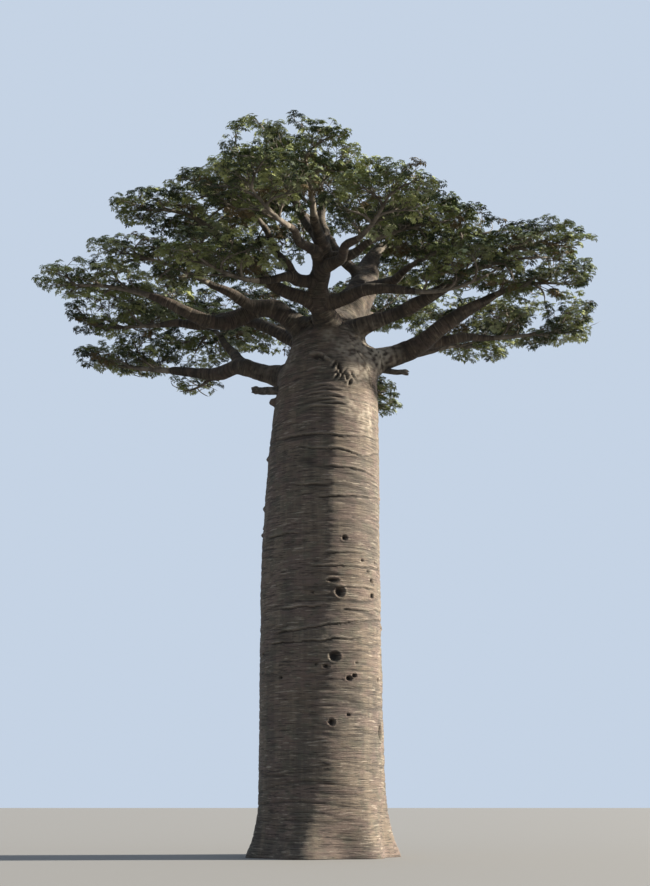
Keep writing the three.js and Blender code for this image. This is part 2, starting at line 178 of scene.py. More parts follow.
class Finish:  # a material whose nodes are added in the order that they work in
    def __init__(self, name, roughness):
        self.material = bpy.data.materials.new(name)
        self.material.use_nodes = True
        self.tree = self.material.node_tree
        self.shader = self.tree.nodes["Principled BSDF"]
        self.shader.inputs["Roughness"].default_value = roughness

    def node(self, kind, links=(), **settings):
        made = self.tree.nodes.new("ShaderNode" + kind)
        for key, value in settings.items():
            setattr(made, key, value)
        for socket, source in dict(links).items():
            if hasattr(source, "is_output"):
                self.tree.links.new(source, made.inputs[socket])
            else:
                made.inputs[socket].default_value = source
        return made

    def stretched(self, source, scale, size, detail, roughness=0.55):
        placed = self.node("Mapping", {"Vector": source, "Scale": scale})
        links = {"Vector": placed.outputs[0], "Scale": size, "Detail": detail, "Roughness": roughness}
        return self.node("TexNoise", links).outputs["Fac"]

    def between(self, source, low, high, lowValue=0.0, highValue=1.0):
        links = {"Value": source, "From Min": low, "From Max": high}
        links |= {"To Min": lowValue, "To Max": highValue}
        return self.node("MapRange", links, interpolation_type="SMOOTHSTEP").outputs["Result"]

    def mixed(self, share, first, second, blend="MIX"):
        made = self.node("Mix", data_type="RGBA", blend_type=blend)
        for socket, source in ((0, share), (6, first), (7, second)):
            if hasattr(source, "is_output"):
                self.tree.links.new(source, made.inputs[socket])
            else:
                made.inputs[socket].default_value = (*source, 1) if isinstance(source, tuple) else source
        return made.outputs[2]

    def laid(self, under, over, source, *values):  # one colour over another, as strong as a noise says
        return self.mixed(self.between(source, *values), under, over)

    def bump(self, source, distance, under=None):
        links = {"Height": source, "Distance": distance, "Strength": 1.0}
        if under:
            links["Normal"] = under
        return self.node("Bump", links).outputs[0]

    def link(self, source, socket):
        self.tree.links.new(source, self.shader.inputs[socket])


barkNoise = {  # stretch, size, detail, roughness, then the values that some fade in between
    "patches": ((1, 1, 0.7), 0.55, 5, 0.55, 0.32, 0.68),
    "blush": ((1, 1, 1.6), 1.3, 6, 0.55, 0.45, 0.6),
    "moss": ((1.1, 1.1, 1.5), 1.9, 7, 0.65, 0.5, 0.62),
    "blotches": ((1, 1, 1), 3.2, 7, 0.7, 0.45, 0.62),
    "streaks": ((2.4, 2.4, 0.16), 1.0, 6, 0.65, 0.35, 0.7),
    "speckle": ((1, 1, 2.2), 16, 4, 0.6),
}
ringNoise = {  # the same, but read along a limb, so that it runs round it in rings
    "rings": ((0.55, 0.55, 5.5), 1.0, 7, 0.62),
    "fine": ((1.6, 1.6, 26), 1.0, 5, 0.6),
    "dashes": ((2.1, 2.1, 19), 1.0, 4, 0.6),
}
barkLayers = [  # a colour, its noise, the noise's two ends and the colour's share at each of them
    ("pale", "streaks", 0, 1, 0, 0.55),
    ("blush", "blush", 0, 1, 0, 0.5),
    ("moss", "moss", 0, 1, 0, 0.5),
    # the two dark rows below paint shade into the troughs of the fine folds and along thin crack dashes
    ("crease_shade_and_mottle", "fine", 0.36, 0.48, 0.7, 0),
    ("crease_shade_and_mottle", "dashes", 0.35, 0.41, 0.85, 0),
    ("pale_wear_and_highlight", "dashes", 0.57, 0.66, 0, 0.36),
]


def makeBark():  # grey-brown skin with rings of fine folds, painted shade in its creases, cracks and pits, boughs darkened as painted shade, and pale patches that are partly wear and partly painted highlights and sunlight
    look = barkFinish
    bark = Finish("baobab_bark", look["roughness"][1])
    space = bark.node("TexCoord").outputs["Object"]
    grain = bark.node("Attribute", attribute_name="grain").outputs["Vector"]
    names = ("crease_shade_and_mottle", "pit", "limb", "worn_and_lit")
    marks = (bark.node("Attribute", attribute_name=name).outputs["Fac"] for name in names)
    crease_shade_and_mottle, pit, limb, worn_and_lit = marks
    noises = {}
    for source, table in ((space, barkNoise), (grain, ringNoise)):
        for name, (stretch, size, detail, roughness, *fade) in table.items():
            made = bark.stretched(source, stretch, size, detail, roughness)
            noises[name] = bark.between(made, *fade) if fade else made
    colour = bark.mixed(noises["patches"], look["shade"], look["warm"])
    for over, name, *values in barkLayers:
        colour = bark.laid(colour, look[over], noises[name], *values)
    # dark rings round the boughs: painted shade in their ring creases
    ringed = bark.laid(colour, look["crease_shade_and_mottle"], noises["rings"], 0.36, 0.44, 0.4, 0)
    colour = bark.mixed(limb, ringed, colour)
    # boughs darkened all over: painted shade for the crown's shadow
    boughsInPaintedShade = bark.mixed(1.0, colour, look["limb"], "MULTIPLY")
    # the same dark colour in blotches: the boughs' own dark mottle
    blotched = bark.laid(boughsInPaintedShade, look["crease_shade_and_mottle"], noises["blotches"], 0, 1, 0, 0.65)
    colour = bark.mixed(limb, colour, blotched)
    colour = bark.laid(colour, look["pale"], noises["speckle"], 0.55, 0.8, 0, 0.25)
    # pale mask: painted highlights on lips, flaps and rolls, painted sunlight under the fork, and worn
    # patches
    colour = bark.mixed(worn_and_lit, colour, look["pale_wear_and_highlight"])
    # painted shade from the crease mask: creases, cracks, clefts, cuts and grooves
    colour = bark.laid(colour, look["crease_shade_and_mottle"], crease_shade_and_mottle, 0.05, 1, 0, 0.85)
    # painted shade inside the pits
    colour = bark.mixed(pit, colour, look["pit"])
    bark.link(colour, "Base Color")
    bark.link(bark.between(noises["speckle"], 0.2, 0.8, *look["roughness"]), "Roughness")
    folds = bark.bump(noises["fine"], look["foldBump"])
    bark.link(bark.bump(noises["speckle"], look["grainBump"], folds), "Normal")
    return bark.material


def makeWood(name, look):  # plain weathered wood: stubs and twigs
    wood = Finish(name, look["roughness"])
    space = wood.node("TexCoord").outputs["Object"]
    tone = wood.between(wood.stretched(space, (1, 1, 1), look["grain"], 5, 0.65), 0.35, 0.68)
    wood.link(wood.mixed(tone, look["dark"], look["light"]), "Base Color")
    wood.link(wood.bump(tone, look["bump"]), "Normal")
    return wood.material


def makeLeaf(colour):
    leaf = Finish("leaf_" + colour, leafFinish["roughness"])
    leaf.shader.inputs["Base Color"].default_value = (*leafFinish[colour], 1)
    leaf.shader.inputs["Specular IOR Level"].default_value = leafFinish["sheen"]
    return leaf.material


barkMaterial = makeBark()
deadMaterial = makeWood("dead_wood", deadFinish)
twigMaterial = makeWood("twig_bark", twigFinish)
leafMaterials = {colour: makeLeaf(colour) for colour in ("sunny", "olive", "deep", "dusty", "russet")}
print("finishes made: bark, dead wood, twigs and", len(leafMaterials), "for the leaves")

# The trunk's outline: height, radius and how far its middle leans to the right
trunkOutline = np.array([
    (0, 2.32, 0), (0.5, 2.16, 0), (1.4, 2.05, 0), (3.4, 2.0, 0), (6, 1.985, 0),
    (9.3, 1.965, 0.02), (11.5, 1.925, 0.08), (13.1, 1.87, 0.15), (14.9, 1.77, 0.23),
    (15.9, 1.64, 0.28), (16.7, 1.36, 0.32), (17.3, 1.06, 0.3), (17.9, 0.6, 0.24),
])
trunkForm = {
    "flareLobes": 7, "flareDepth": 0.07, "flareReach": 1.3, "flareSkew": 0.9,
    "swellLobes": 3, "swellDepth": 0.02, "swellTwist": 0.25,
}

# Each bough leaves its parent at a share of the parent's length, or the trunk at a height. azimuth,
# reach and height place its tip. bends are shares of its length and how far it rises there, and
# girth and tip are radii. leaves is the mass at its tip, long, wide and deep, and lift raises it.
boughColumns = (
    "name", "from", "at", "azimuth", "reach", "height", "bends", "girth", "tip", "leaves", "lift",
)
boughRows = [
    ("low_left", "trunk", 15.6, 158.5, 5.8, 16.75, [[0.4, 0.12], [0.56, 0.36], [0.72, 0.02]],
     0.4, 0.13, [4.4, 3.8, 2.2], 0.2),
    ("left_main", "trunk", 16.7, 190, 5.95, 18.4, [[0.33, 0.82], [0.62, -0.12]],
     0.38, 0.12, [4.6, 3.6, 1.3], 0.26),
    ("right_low", "trunk", 15.8, 353, 6.0, 18.5, [[0.33, -0.3], [0.66, -0.22]],
     0.46, 0.13, [4.0, 4.0, 2.8], 0.1),
    ("right_main", "trunk", 17.15, 332, 5.05, 18.4, [[0.35, -0.05], [0.7, -0.2]],
     0.32, 0.13, [4.5, 3.8, 2.1], 0.05),
    ("front", "trunk", 17.0, 267, 4.15, 19.9, [[0.3, -0.05], [0.6, 0.3]],
     0.44, 0.13, [4.8, 4.4, 3.0], 0.15),
    ("back_high", "trunk", 17.0, 38, 2.4, 20.9, [[0.5, -0.25]], 0.84, 0.26, [5.2, 5.0, 3.4], 0.08),
    ("back_left", "trunk", 16.7, 104, 4.55, 19.3, [[0.5, -0.1]], 0.27, 0.11, [5.2, 5.0, 3.7], 0.14),
    ("right_back", "trunk", 16.3, 36, 5.35, 17.95, [[0.5, -0.1]], 0.3, 0.11, [4.7, 4.3, 3.1], 0.25),
    ("back", "trunk", 16.6, 76, 5.5, 17.0, [[0.5, -0.15]], 0.3, 0.11, [5.2, 3.6, 2.0], 0.0),
    ("back_left_far", "trunk", 16.5, 136, 6.25, 19.9, [[0.5, 0.2]], 0.28, 0.1, [4.7, 4.1, 2.3], 0.1),
    ("low_left_upper", "low_left", 0.5, 147, 4.4, 18.15, [[0.5, -0.1]], 0.22, 0.1, [4.8, 4.0, 2.5], 0.1),
    ("low_left_hanging", "low_left", 0.56, 153, 4.7, 16.3, [[0.5, 0.04]],
     0.1, 0.06, [2.1, 2.0, 1.3], -0.1),
    ("left_main_back", "left_main", 0.52, 174, 5.7, 17.95, [[0.5, -0.08]],
     0.2, 0.1, [4.3, 4.0, 2.5], 0.14),
    ("left_fork", "left_main", 0.33, 202, 4.1, 18.65, [[0.5, -0.12]], 0.24, 0.11, [4.9, 3.7, 1.8], 0.1),
    ("left_high", "front", 0.3, 217, 4.5, 20.05, [[0.5, -0.3]], 0.24, 0.11, [4.1, 3.7, 1.3], 0.15),
    ("front_left", "front", 0.48, 239, 3.9, 18.0, [[0.5, 0.12]], 0.2, 0.1, [4.5, 3.8, 2.0], 0.0),
    ("front_left_upper", "front_left", 0.36, 242, 4.0, 19.85, [[0.5, -0.1]],
     0.14, 0.09, [4.3, 3.8, 2.1], 0.1),
    ("front_low", "front", 0.58, 260, 5.65, 18.9, [[0.5, 0.15]], 0.2, 0.1, [4.5, 4.0, 2.2], 0.1),
    ("front_right", "front", 0.52, 282, 5.65, 18.5, [[0.5, 0.1]], 0.22, 0.1, [4.5, 3.8, 2.1], 0.1),
    ("top_left", "front", 0.8, 250, 3.4, 21.6, [[0.5, -0.2]], 0.2, 0.1, [2.5, 3.2, 2.8], 0.3),
    ("top_right", "front", 0.74, 271, 2.75, 21.3, [[0.5, -0.2]], 0.2, 0.1, [2.9, 2.7, 2.8], 0.3),
    ("front_right_upper", "front", 0.63, 297, 3.5, 19.45, [[0.5, -0.15]], 0.2, 0.1, [4.2, 3.6, 2.2], 0.1),
    ("elbow", "front", 0.34, 321, 4.05, 17.95, [[0.3, 0.1], [0.58, 0.3]],
     0.25, 0.1, [4.3, 3.6, 2.1], 0.1),
    ("top_back", "back_high", 0.72, 88, 0.3, 21.5, [[0.5, -0.1]], 0.2, 0.1, [6.0, 5.6, 3.8], -0.1),
    ("right_top", "back_high", 0.6, 341, 3.3, 19.5, [[0.5, -0.15]], 0.22, 0.1, [4.6, 4.2, 2.4], 0.1),
    ("right_main_upper", "right_main", 0.6, 338, 5.6, 18.95, [[0.5, -0.1]],
     0.2, 0.1, [4.5, 3.7, 1.9], 0.1),
    ("right_level", "right_low", 0.5, 3, 6.05, 17.35, [[0.5, 0.12]], 0.2, 0.1, [4.5, 4.0, 2.7], 0.15),
    ("back_far", "back_high", 0.4, 68, 5.3, 20.0, [[0.5, -0.1]], 0.2, 0.1, [5.2, 4.8, 3.0], 0.3),
]
boughs = [dict(zip(boughColumns, row)) for row in boughRows]
limbForm = {
    "collarShare": 0.34, "collarReach": 0.7, "ofParent": 0.72, "taper": 0.8,
    "waver": 0.035, "waverUpright": 0.4, "waverTurns": 1.4,
    "beads": 0.05,  # metres between the places at which a limb's distance is measured
    "room": 1.6,  # metres, past which a limb counts as far away
    "far": 9.0, "atOnce": 20000,
}
massForm = {
    "seat": 0.36, "raise": 0.12, "half": (0.58, 0.54, 0.54), "usual": 3.2,
    "stemEnd": 0.42, "stemStations": 24, "firstSeat": 8,
    "stemGirth": 0.95,  # of the bough's tip
    "stemTip": 0.6,  # of a twig's girth
    "twigs": 6, "twigEnd": 0.5, "twigLevels": (0.05, 0.25, -0.35, -0.3), "twigBend": 0.3,
    "twigGirth": 0.05, "twigTip": 0.014, "twigStations": 8,
}
goldenAngle = math.pi * (3 - math.sqrt(5))
upward = np.array([0.0, 0.0, 1.0])


def chance(*seeds):  # a number from 0 to 1 that is always the same for the same seeds
    mixed = 4.137 + sum(seed * (12.9898 + 65.1127 * i) for i, seed in enumerate(seeds))
    wild = math.sin(mixed) * 43758.5453
    return wild - math.floor(wild)


def vary(low, high, *seeds):
    return low + (high - low) * chance(*seeds)


def polar(azimuth, reach, height):
    turn = math.radians(azimuth)
    return np.array([reach * math.cos(turn), reach * math.sin(turn), height])


def unit(way):
    return way / np.maximum(np.linalg.norm(way, axis=-1, keepdims=True), 1e-9)


def outlineAt(column, heights):  # a smooth line through the trunk's outline, read at any heights
    last = len(trunkOutline) - 1
    stations, values = trunkOutline[:, 0], trunkOutline[:, column]
    heights = np.clip(np.asarray(heights, float), 0, stations[-1])
    low = np.clip(np.searchsorted(stations, heights, side="right") - 1, 0, last - 1)
    share = (heights - stations[low]) / (stations[low + 1] - stations[low])
    before, start = values[np.maximum(low - 1, 0)], values[low]
    end, after = values[low + 1], values[np.minimum(low + 2, last)]
    leaving, arriving = (end - before) / 2, (after - start) / 2
    cube = 2 * start - 2 * end + leaving + arriving
    square = -3 * start + 3 * end - 2 * leaving - arriving
    return ((cube * share + square) * share + leaving) * share + start


def trunkRadius(heights, angles):
    fold = np.exp(-((heights / trunkForm["flareReach"]) ** 2)) * trunkForm["flareDepth"]
    folds = fold * np.cos(trunkForm["flareLobes"] * angles + trunkForm["flareSkew"] * np.sin(2 * angles))
    turn = trunkForm["swellLobes"] * angles + trunkForm["swellTwist"] * heights
    return outlineAt(1, heights) * (1 + folds + trunkForm["swellDepth"] * np.cos(turn))


def smoothCurve(stations, shares):  # an even curve through all its stations
    stations = [np.array(station, float) for station in stations]
    ends = [2 * stations[0] - stations[1], *stations, 2 * stations[-1] - stations[-2]]
    points = []
    for share in shares:
        place = share * (len(stations) - 1)
        part = min(int(place), len(stations) - 2)
        t = place - part
        p0, p1, p2, p3 = ends[part : part + 4]
        d0, d1, d2 = (math.sqrt(np.linalg.norm(b - a)) for a, b in ((p0, p1), (p1, p2), (p2, p3)))
        leaving = ((p1 - p0) / d0 - (p2 - p0) / (d0 + d1) + (p2 - p1) / d1) * d1
        arriving = ((p2 - p1) / d1 - (p3 - p1) / (d1 + d2) + (p3 - p2) / d2) * d1
        cube = 2 * p1 - 2 * p2 + leaving + arriving
        square = -3 * p1 + 3 * p2 - 2 * leaving - arriving
        points.append(((cube * t + square) * t + leaving) * t + p1)
    return np.array(points)


class Line:  # a path that is read by the share of its length
    def __init__(self, points):
        self.points = np.asarray(points, float)
        steps = np.linalg.norm(np.diff(self.points, axis=0), axis=1)
        self.lengths = np.concatenate([[0], np.cumsum(steps)])
        self.length = self.lengths[-1]

    def at(self, share):
        place = np.asarray(share) * self.length
        return np.stack([np.interp(place, self.lengths, column) for column in self.points.T], axis=-1)

    def heading(self, share):
        return unit(self.at(np.minimum(share + 0.01, 1)) - self.at(np.maximum(share - 0.01, 0)))


def boughPath(start, bends, tip, seed):  # through the bends, wandering a little on the way
    way = tip - start
    bent = [start + way * share + upward * rise for share, rise in bends]
    shares = np.linspace(0, 1, 201)
    points = smoothCurve([start, *bent, tip], shares)
    side = unit(np.cross(way, upward))
    hold = 4 * shares * (1 - shares) * limbForm["waver"] * np.linalg.norm(way)
    turn = 2 * math.pi * limbForm["waverTurns"] * shares
    points += (hold * np.sin(turn + 7 * chance(seed, 1)))[:, None] * side
    points += (limbForm["waverUpright"] * hold * np.sin(turn + 7 * chance(seed, 2)))[:, None] * upward
    return Line(points)


class Limb:  # a tapering bough, and where its folds are counted from along its parent
    def __init__(self, bough, index, grown):
        parent = grown.get(bough["from"])
        at = bough["at"]
        start = parent.line.at(at) if parent else np.array([outlineAt(2, at), 0, at], float)
        tip = polar(bough["azimuth"], bough["reach"], bough["height"])
        self.name, self.index, self.tip = bough["name"], index, bough["tip"]
        self.leaves, self.lift = bough["leaves"], bough["lift"]
        self.line = boughPath(start, bough["bends"], tip, index)
        most = limbForm["ofParent"] * parent.radiusAt(at) if parent else bough["girth"]
        self.girth = min(bough["girth"], most)
        self.before = parent.before + at * parent.line.length if parent else at

    def radiusAt(self, share):
        share = np.clip(share, 0, 1)
        swelling = limbForm["collarShare"] * np.exp(-share * self.line.length / limbForm["collarReach"])
        return self.girth * (1 + swelling) * (1 - share) ** limbForm["taper"] + self.tip * share

    def clearance(self, points):  # how far points lie outside the limb, and how far along it
        shares = np.linspace(0, 1, int(self.line.length / limbForm["beads"]) + 2)
        beads, ways = self.line.at(shares), self.line.heading(shares)
        gap, along = np.full(len(points), limbForm["far"]), np.zeros(len(points))
        low, high = beads.min(0) - limbForm["room"], beads.max(0) + limbForm["room"]
        close = np.all((points > low) & (points < high), axis=1)
        chosen = points[close]
        nearest = np.zeros(len(chosen), int)
        for first in range(0, len(chosen), limbForm["atOnce"]):
            part = chosen[first : first + limbForm["atOnce"]]
            apart = -2 * part @ beads.T + (beads**2).sum(1)
            nearest[first : first + limbForm["atOnce"]] = apart.argmin(1)
        off = chosen - beads[nearest]
        ahead = (off * ways[nearest]).sum(1)
        beside = np.linalg.norm(off - ahead[:, None] * ways[nearest], axis=1)
        past = (nearest == len(beads) - 1) & (ahead > 0) | (nearest == 0) & (ahead < 0)
        reached = shares[nearest] * self.line.length + ahead
        outside = np.where(past, np.linalg.norm(off, axis=1), beside)
        gap[close] = outside - self.radiusAt(reached / self.line.length)
        along[close] = reached
        return gap, along


def trunkClearance(points):
    across = points[:, 0] - outlineAt(2, points[:, 2])
    angles = np.arctan2(points[:, 1], across)
    out = np.hypot(across, points[:, 1])
    gap = out - trunkRadius(np.clip(points[:, 2], 0, trunkOutline[-1, 0]), angles)
    step = 0.02
    slope = (outlineAt(1, points[:, 2] + step) - outlineAt(1, points[:, 2] - step)) / (2 * step)
    above = points[:, 2] - trunkOutline[-1, 0]
    gap = gap / np.hypot(1, slope)
    return np.where(above > 0, np.hypot(np.maximum(gap, 0), above), gap), angles


limbs = {}
for index, bough in enumerate(boughs):
    limbs[bough["name"]] = Limb(bough, index, limbs)
print("limbs drawn:", len(limbs))


def addPiece(name, mesh, material, nodes):
    piece = addObject(name, mesh)
    mesh.materials.append(material)
    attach(piece, "root")
    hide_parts(*nodes)
    print(name, "has", sum(len(face.vertices) - 2 for face in mesh.polygons), "triangles")
    return piece


def ringedTube(sides, rings):  # a capped round tube, one metre in radius and length, cut into rings
    bm = bmesh.new()
    bmesh.ops.create_cone(bm, cap_ends=True, segments=sides, radius1=1, radius2=1, depth=1)
    upright = [edge for edge in bm.edges if abs(edge.verts[0].co.z - edge.verts[1].co.z) > 0.5]
    bmesh.ops.subdivide_edges(bm, edges=upright, cuts=rings - 1, use_grid_fill=True)
    return bm


def readPoints(mesh):
    points = np.empty(len(mesh.vertices) * 3)
    mesh.vertices.foreach_get("co", points)
    return points.reshape(-1, 3)


def writePoints(mesh, points):
    mesh.vertices.foreach_set("co", np.asarray(points, np.float32).ravel())
    mesh.update()


def writeBark(mesh, grain, marks):  # where the bark's rings run, and its masks: painted shade in creases and pits, the boughs, and pale wear with painted highlights and sunlight
    mesh.attributes.new("grain", "FLOAT_VECTOR", "POINT")
    mesh.attributes["grain"].data.foreach_set("vector", np.asarray(grain, np.float32).ravel())
    for name, values in marks.items():
        layer = mesh.attributes.new(name, "FLOAT", "POINT")
        layer.data.foreach_set("value", np.asarray(values, np.float32).ravel())


def noiseAt(points, scale, shift=0.0):  # smooth noise from about -1 to 1, stretched by its scale
    placed = points * np.array(scale) + shift
    return np.array([noise.noise(place) for place in placed.tolist()])


# The bark's relief
barkRelief = {
    "foldDepth": 0.024, "foldWidth": 0.1, "foldScale": (0.42, 0.42, 3.1),
    "fineDepth": 0.009, "fineWidth": 0.16, "fineScale": (0.9, 0.9, 7.5),
    "flutes": 0.02, "fluteScale": (1.3, 1.3, 0.14), "lumps": 0.03, "lumpScale": (0.8, 0.8, 0.8),
    "quietScale": (0.5, 0.5, 0.8), "fullGirth": 1.8,  # the radius from which folds have their full depth
    "crackDepth": 0.06, "crackWidth": 0.022, "lip": 0.024, "wander": (0.05, 0.022), "crackEnd": 0.15,
    "pitRim": 0.16,  # of the pit's depth
}
cracks = [  # long cracks: azimuth and height of the points they pass
    [(226, 6.76), (270, 6.95), (296, 7.1), (352, 7.35)],
    [(220, 6.44), (272, 6.5), (306, 6.62)],
    [(262, 8.84), (300, 8.9), (350, 9.0)],
    [(284, 8.2), (328, 8.26)],
    [(232, 7.54), (274, 7.6)],
    [(294, 7.5), (350, 7.6)],
    [(276, 9.3), (312, 9.36)],
    [(222, 13.22), (256, 13.25), (288, 13.18), (345, 13.36)],
    [(244, 12.8), (286, 12.7), (310, 12.58), (342, 12.9)],
    [(272, 12.17), (294, 12.1), (326, 12.02)],
    [(240, 11.56), (274, 11.5)],
    [(264, 11.08), (324, 11.25), (358, 11.4)],
    [(208, 9.95), (248, 9.96)],
    [(20, 7.9), (70, 7.7), (118, 7.95)],
    [(95, 10.4), (150, 10.5), (190, 10.35)],
    [(30, 12.5), (88, 12.35), (132, 12.5)],
    [(140, 5.6), (182, 5.5)],
    [(5, 4.9), (60, 5.05)],
]
pits = [  # azimuth, height, width, how tall, depth
    (292, 9.8, 0.15, 0.15, 0.13), (281, 8.42, 0.34, 0.1, 0.1), (288, 8.06, 0.26, 0.28, 0.17),
    (324, 8.5, 0.13, 0.13, 0.13), (324, 8.02, 0.13, 0.16, 0.14), (311, 9.12, 0.1, 0.09, 0.1),
    (330, 9.14, 0.09, 0.08, 0.08), (341, 8.97, 0.12, 0.14, 0.12), (319, 8.8, 0.12, 0.08, 0.09),
    (283, 6.03, 0.3, 0.26, 0.15), (275, 5.72, 0.17, 0.12, 0.1), (266, 5.78, 0.08, 0.08, 0.08),
    (297, 5.37, 0.18, 0.14, 0.14), (302, 5.46, 0.13, 0.12, 0.12), (334, 5.38, 0.12, 0.12, 0.1),
    (280, 4.02, 0.17, 0.18, 0.12), (338, 3.76, 0.22, 0.42, 0.15), (304, 5.85, 0.07, 0.07, 0.07),
    (262, 8.02, 0.1, 0.06, 0.07), (296, 4.25, 0.09, 0.09, 0.08), (232, 5.4, 0.12, 0.09, 0.08),
    (24, 6.8, 0.17, 0.15, 0.12), (52, 8.9, 0.12, 0.12, 0.1), (75, 4.6, 0.2, 0.24, 0.13),
    (96, 9.6, 0.14, 0.12, 0.1), (118, 6.3, 0.26, 0.22, 0.14), (124, 6.75, 0.12, 0.1, 0.09),
    (149, 8.3, 0.13, 0.14, 0.11), (171, 4.3, 0.16, 0.2, 0.12), (187, 7.1, 0.12, 0.1, 0.09),
    (8, 4.1, 0.13, 0.14, 0.1), (44, 11.2, 0.1, 0.1, 0.08), (205, 6.2, 0.09, 0.09, 0.08),
]


def creases(grain, scale, width, shift):  # lines where a stretched noise passes through nought, for grooves and the painted shade in them
    return hump(noiseAt(grain, scale, shift) / width)


def limbRelief(grain, girth):  # rings of folds and creases, larger on a thicker limb, with a mask of painted shade in the creases
    look = barkRelief
    share = np.clip(girth / look["fullGirth"], 0, 1) ** 0.7
    strength = 0.45 + 0.55 * np.clip(noiseAt(grain, look["quietScale"], 40) * 2 + 0.5, 0, 1)
    fold = creases(grain, look["foldScale"], look["foldWidth"], 0) * strength
    fine = creases(grain, look["fineScale"], look["fineWidth"], 70)
    relief = look["flutes"] * noiseAt(grain, look["fluteScale"], 15)
    relief = relief + look["lumps"] * noiseAt(grain, look["lumpScale"], 90)
    relief -= look["foldDepth"] * fold + look["fineDepth"] * fine
    return relief * share, np.clip(0.75 * fold + 0.25 * fine, 0, 1)


def hump(off):  # 1 in the middle, and next to nothing from two widths away
    return np.exp(-(off**2))


def wrapped(turn):
    return (turn + math.pi) % (2 * math.pi) - math.pi


def turnedBy(angles, azimuth):  # how far round the trunk from an azimuth, in radians
    return wrapped(angles - math.radians(azimuth))


def crackRelief(angles, heights):  # a long crack is a sharp groove with a lip that stands over it, painted shade in the groove and a painted highlight on the lip
    look = barkRelief
    relief, dark, pale = (np.zeros(len(angles)) for _ in range(3))
    for number, places in enumerate(cracks):
        turns = [math.radians(azimuth - places[0][0]) for azimuth, _ in places]
        passed = turnedBy(angles, (places[0][0] + places[-1][0]) / 2) + turns[-1] / 2
        near = (passed > -0.1) & (passed < turns[-1] + 0.1) & (abs(heights - places[0][1]) < 0.8)
        passed = passed[near]
        line = np.interp(passed, turns, [height for _, height in places])
        wobble = np.c_[passed * 4, np.full(len(passed), number * 7.7), passed * 0]
        slow, quick = look["wander"]
        line += slow * noiseAt(wobble, (1, 1, 1)) + quick * noiseAt(wobble, (5, 1, 1))
        fade = np.clip(np.minimum(passed, turns[-1] - passed) / look["crackEnd"] + 0.4, 0, 1)
        off = (heights[near] - line) / look["crackWidth"]
        groove = hump(off) * fade
        lip = hump((off - 2.6) / 1.6) * fade
        relief[near] += look["lip"] * lip - look["crackDepth"] * groove
        dark[near] = np.maximum(dark[near], groove)
        pale[near] = np.maximum(pale[near], 0.2 * lip)
    return relief, dark, pale


def pitRelief(angles, heights, radii):  # a hole with a rolled rim, and a mask of painted shade inside it
    relief, dark = np.zeros(len(angles)), np.zeros(len(angles))
    for azimuth, height, width, tall, depth in pits:
        across = turnedBy(angles, azimuth) * radii / (width / 2)
        out = np.hypot(across, (heights - height) / (tall / 2))
        hole = 1 / (1 + np.exp((out - 0.95) * 9))
        rim = hump((out - 1.4) / 0.33)
        relief += barkRelief["pitRim"] * depth * rim - depth * hole
        dark = np.maximum(dark, 1 / (1 + np.exp((out - 0.85) * 10)))
    return relief, dark


knobs = [  # azimuth, height, how wide, how far out
    (184, 14.85, 0.2, 0.2), (183, 12.85, 0.14, 0.07), (184, 11.1, 0.13, 0.06), (186, 10.2, 0.1, 0.05),
    (352, 7.1, 0.12, 0.05), (62, 13.2, 0.2, 0.12), (118, 9.1, 0.16, 0.08),
]


def knobRelief(angles, heights, radii):
    relief = np.zeros(len(angles))
    for azimuth, height, width, out in knobs:
        across = turnedBy(angles, azimuth) * radii
        relief += out * np.exp(-((np.hypot(across, heights - height) / width * 1.6) ** 4))
    return relief


# The scars under the fork, drawn flat: across is the turn times the trunk's radius where they lie.
scars = {  # each starts with its azimuth and height
    "brow": (258, 15.96, 0.3, 0.15, 0.42),  # half-width, half-height, lean
    "gashes": [  # lean, half-height
        (276, 15.72, 0.5, 0.1), (280, 15.6, 0.3, 0.15), (283, 15.47, -0.4, 0.12),
        (286, 15.36, 0.55, 0.17), (290, 15.27, -0.2, 0.13), (294, 15.12, 0.3, 0.12),
        (279, 15.28, 0.6, 0.09), (298, 15.34, -0.5, 0.09),
    ],
    "folds": [  # half-width
        (264, 14.98, 0.36), (270, 14.86, 0.46), (262, 14.73, 0.4), (272, 14.62, 0.42),
        (266, 14.5, 0.48), (276, 14.38, 0.4), (261, 14.26, 0.38),
    ],
    "clefts": [  # the lines where a bough's collar meets the trunk, as azimuth and height
        [(300, 16.55), (309, 16.2), (318, 15.85), (327, 15.5), (331, 15.2)],
        [(296, 17.0), (300, 16.75), (307, 16.62)],
    ],
}
scarForm = {  # metres: the radius where each lies, then how far it stands out and cuts in
    "brow": (1.6, 0.12, 0.1), "gash": (1.75, 0.06, 0.12),
    "fold": (1.8, 0.06, 0.06), "cleft": (1.6, 0.06, 0.11),
    "gashWidth": 0.04, "flapOff": 0.085, "ragged": 0.05,
    "foldWidth": (0.045, 0.028), "foldSag": 0.03, "grooveOff": 0.07,
    "cleftWidth": (0.05, 0.035), "edgeOff": 0.09, "cleftEnd": 0.12, "cleftReach": 1.4,
}


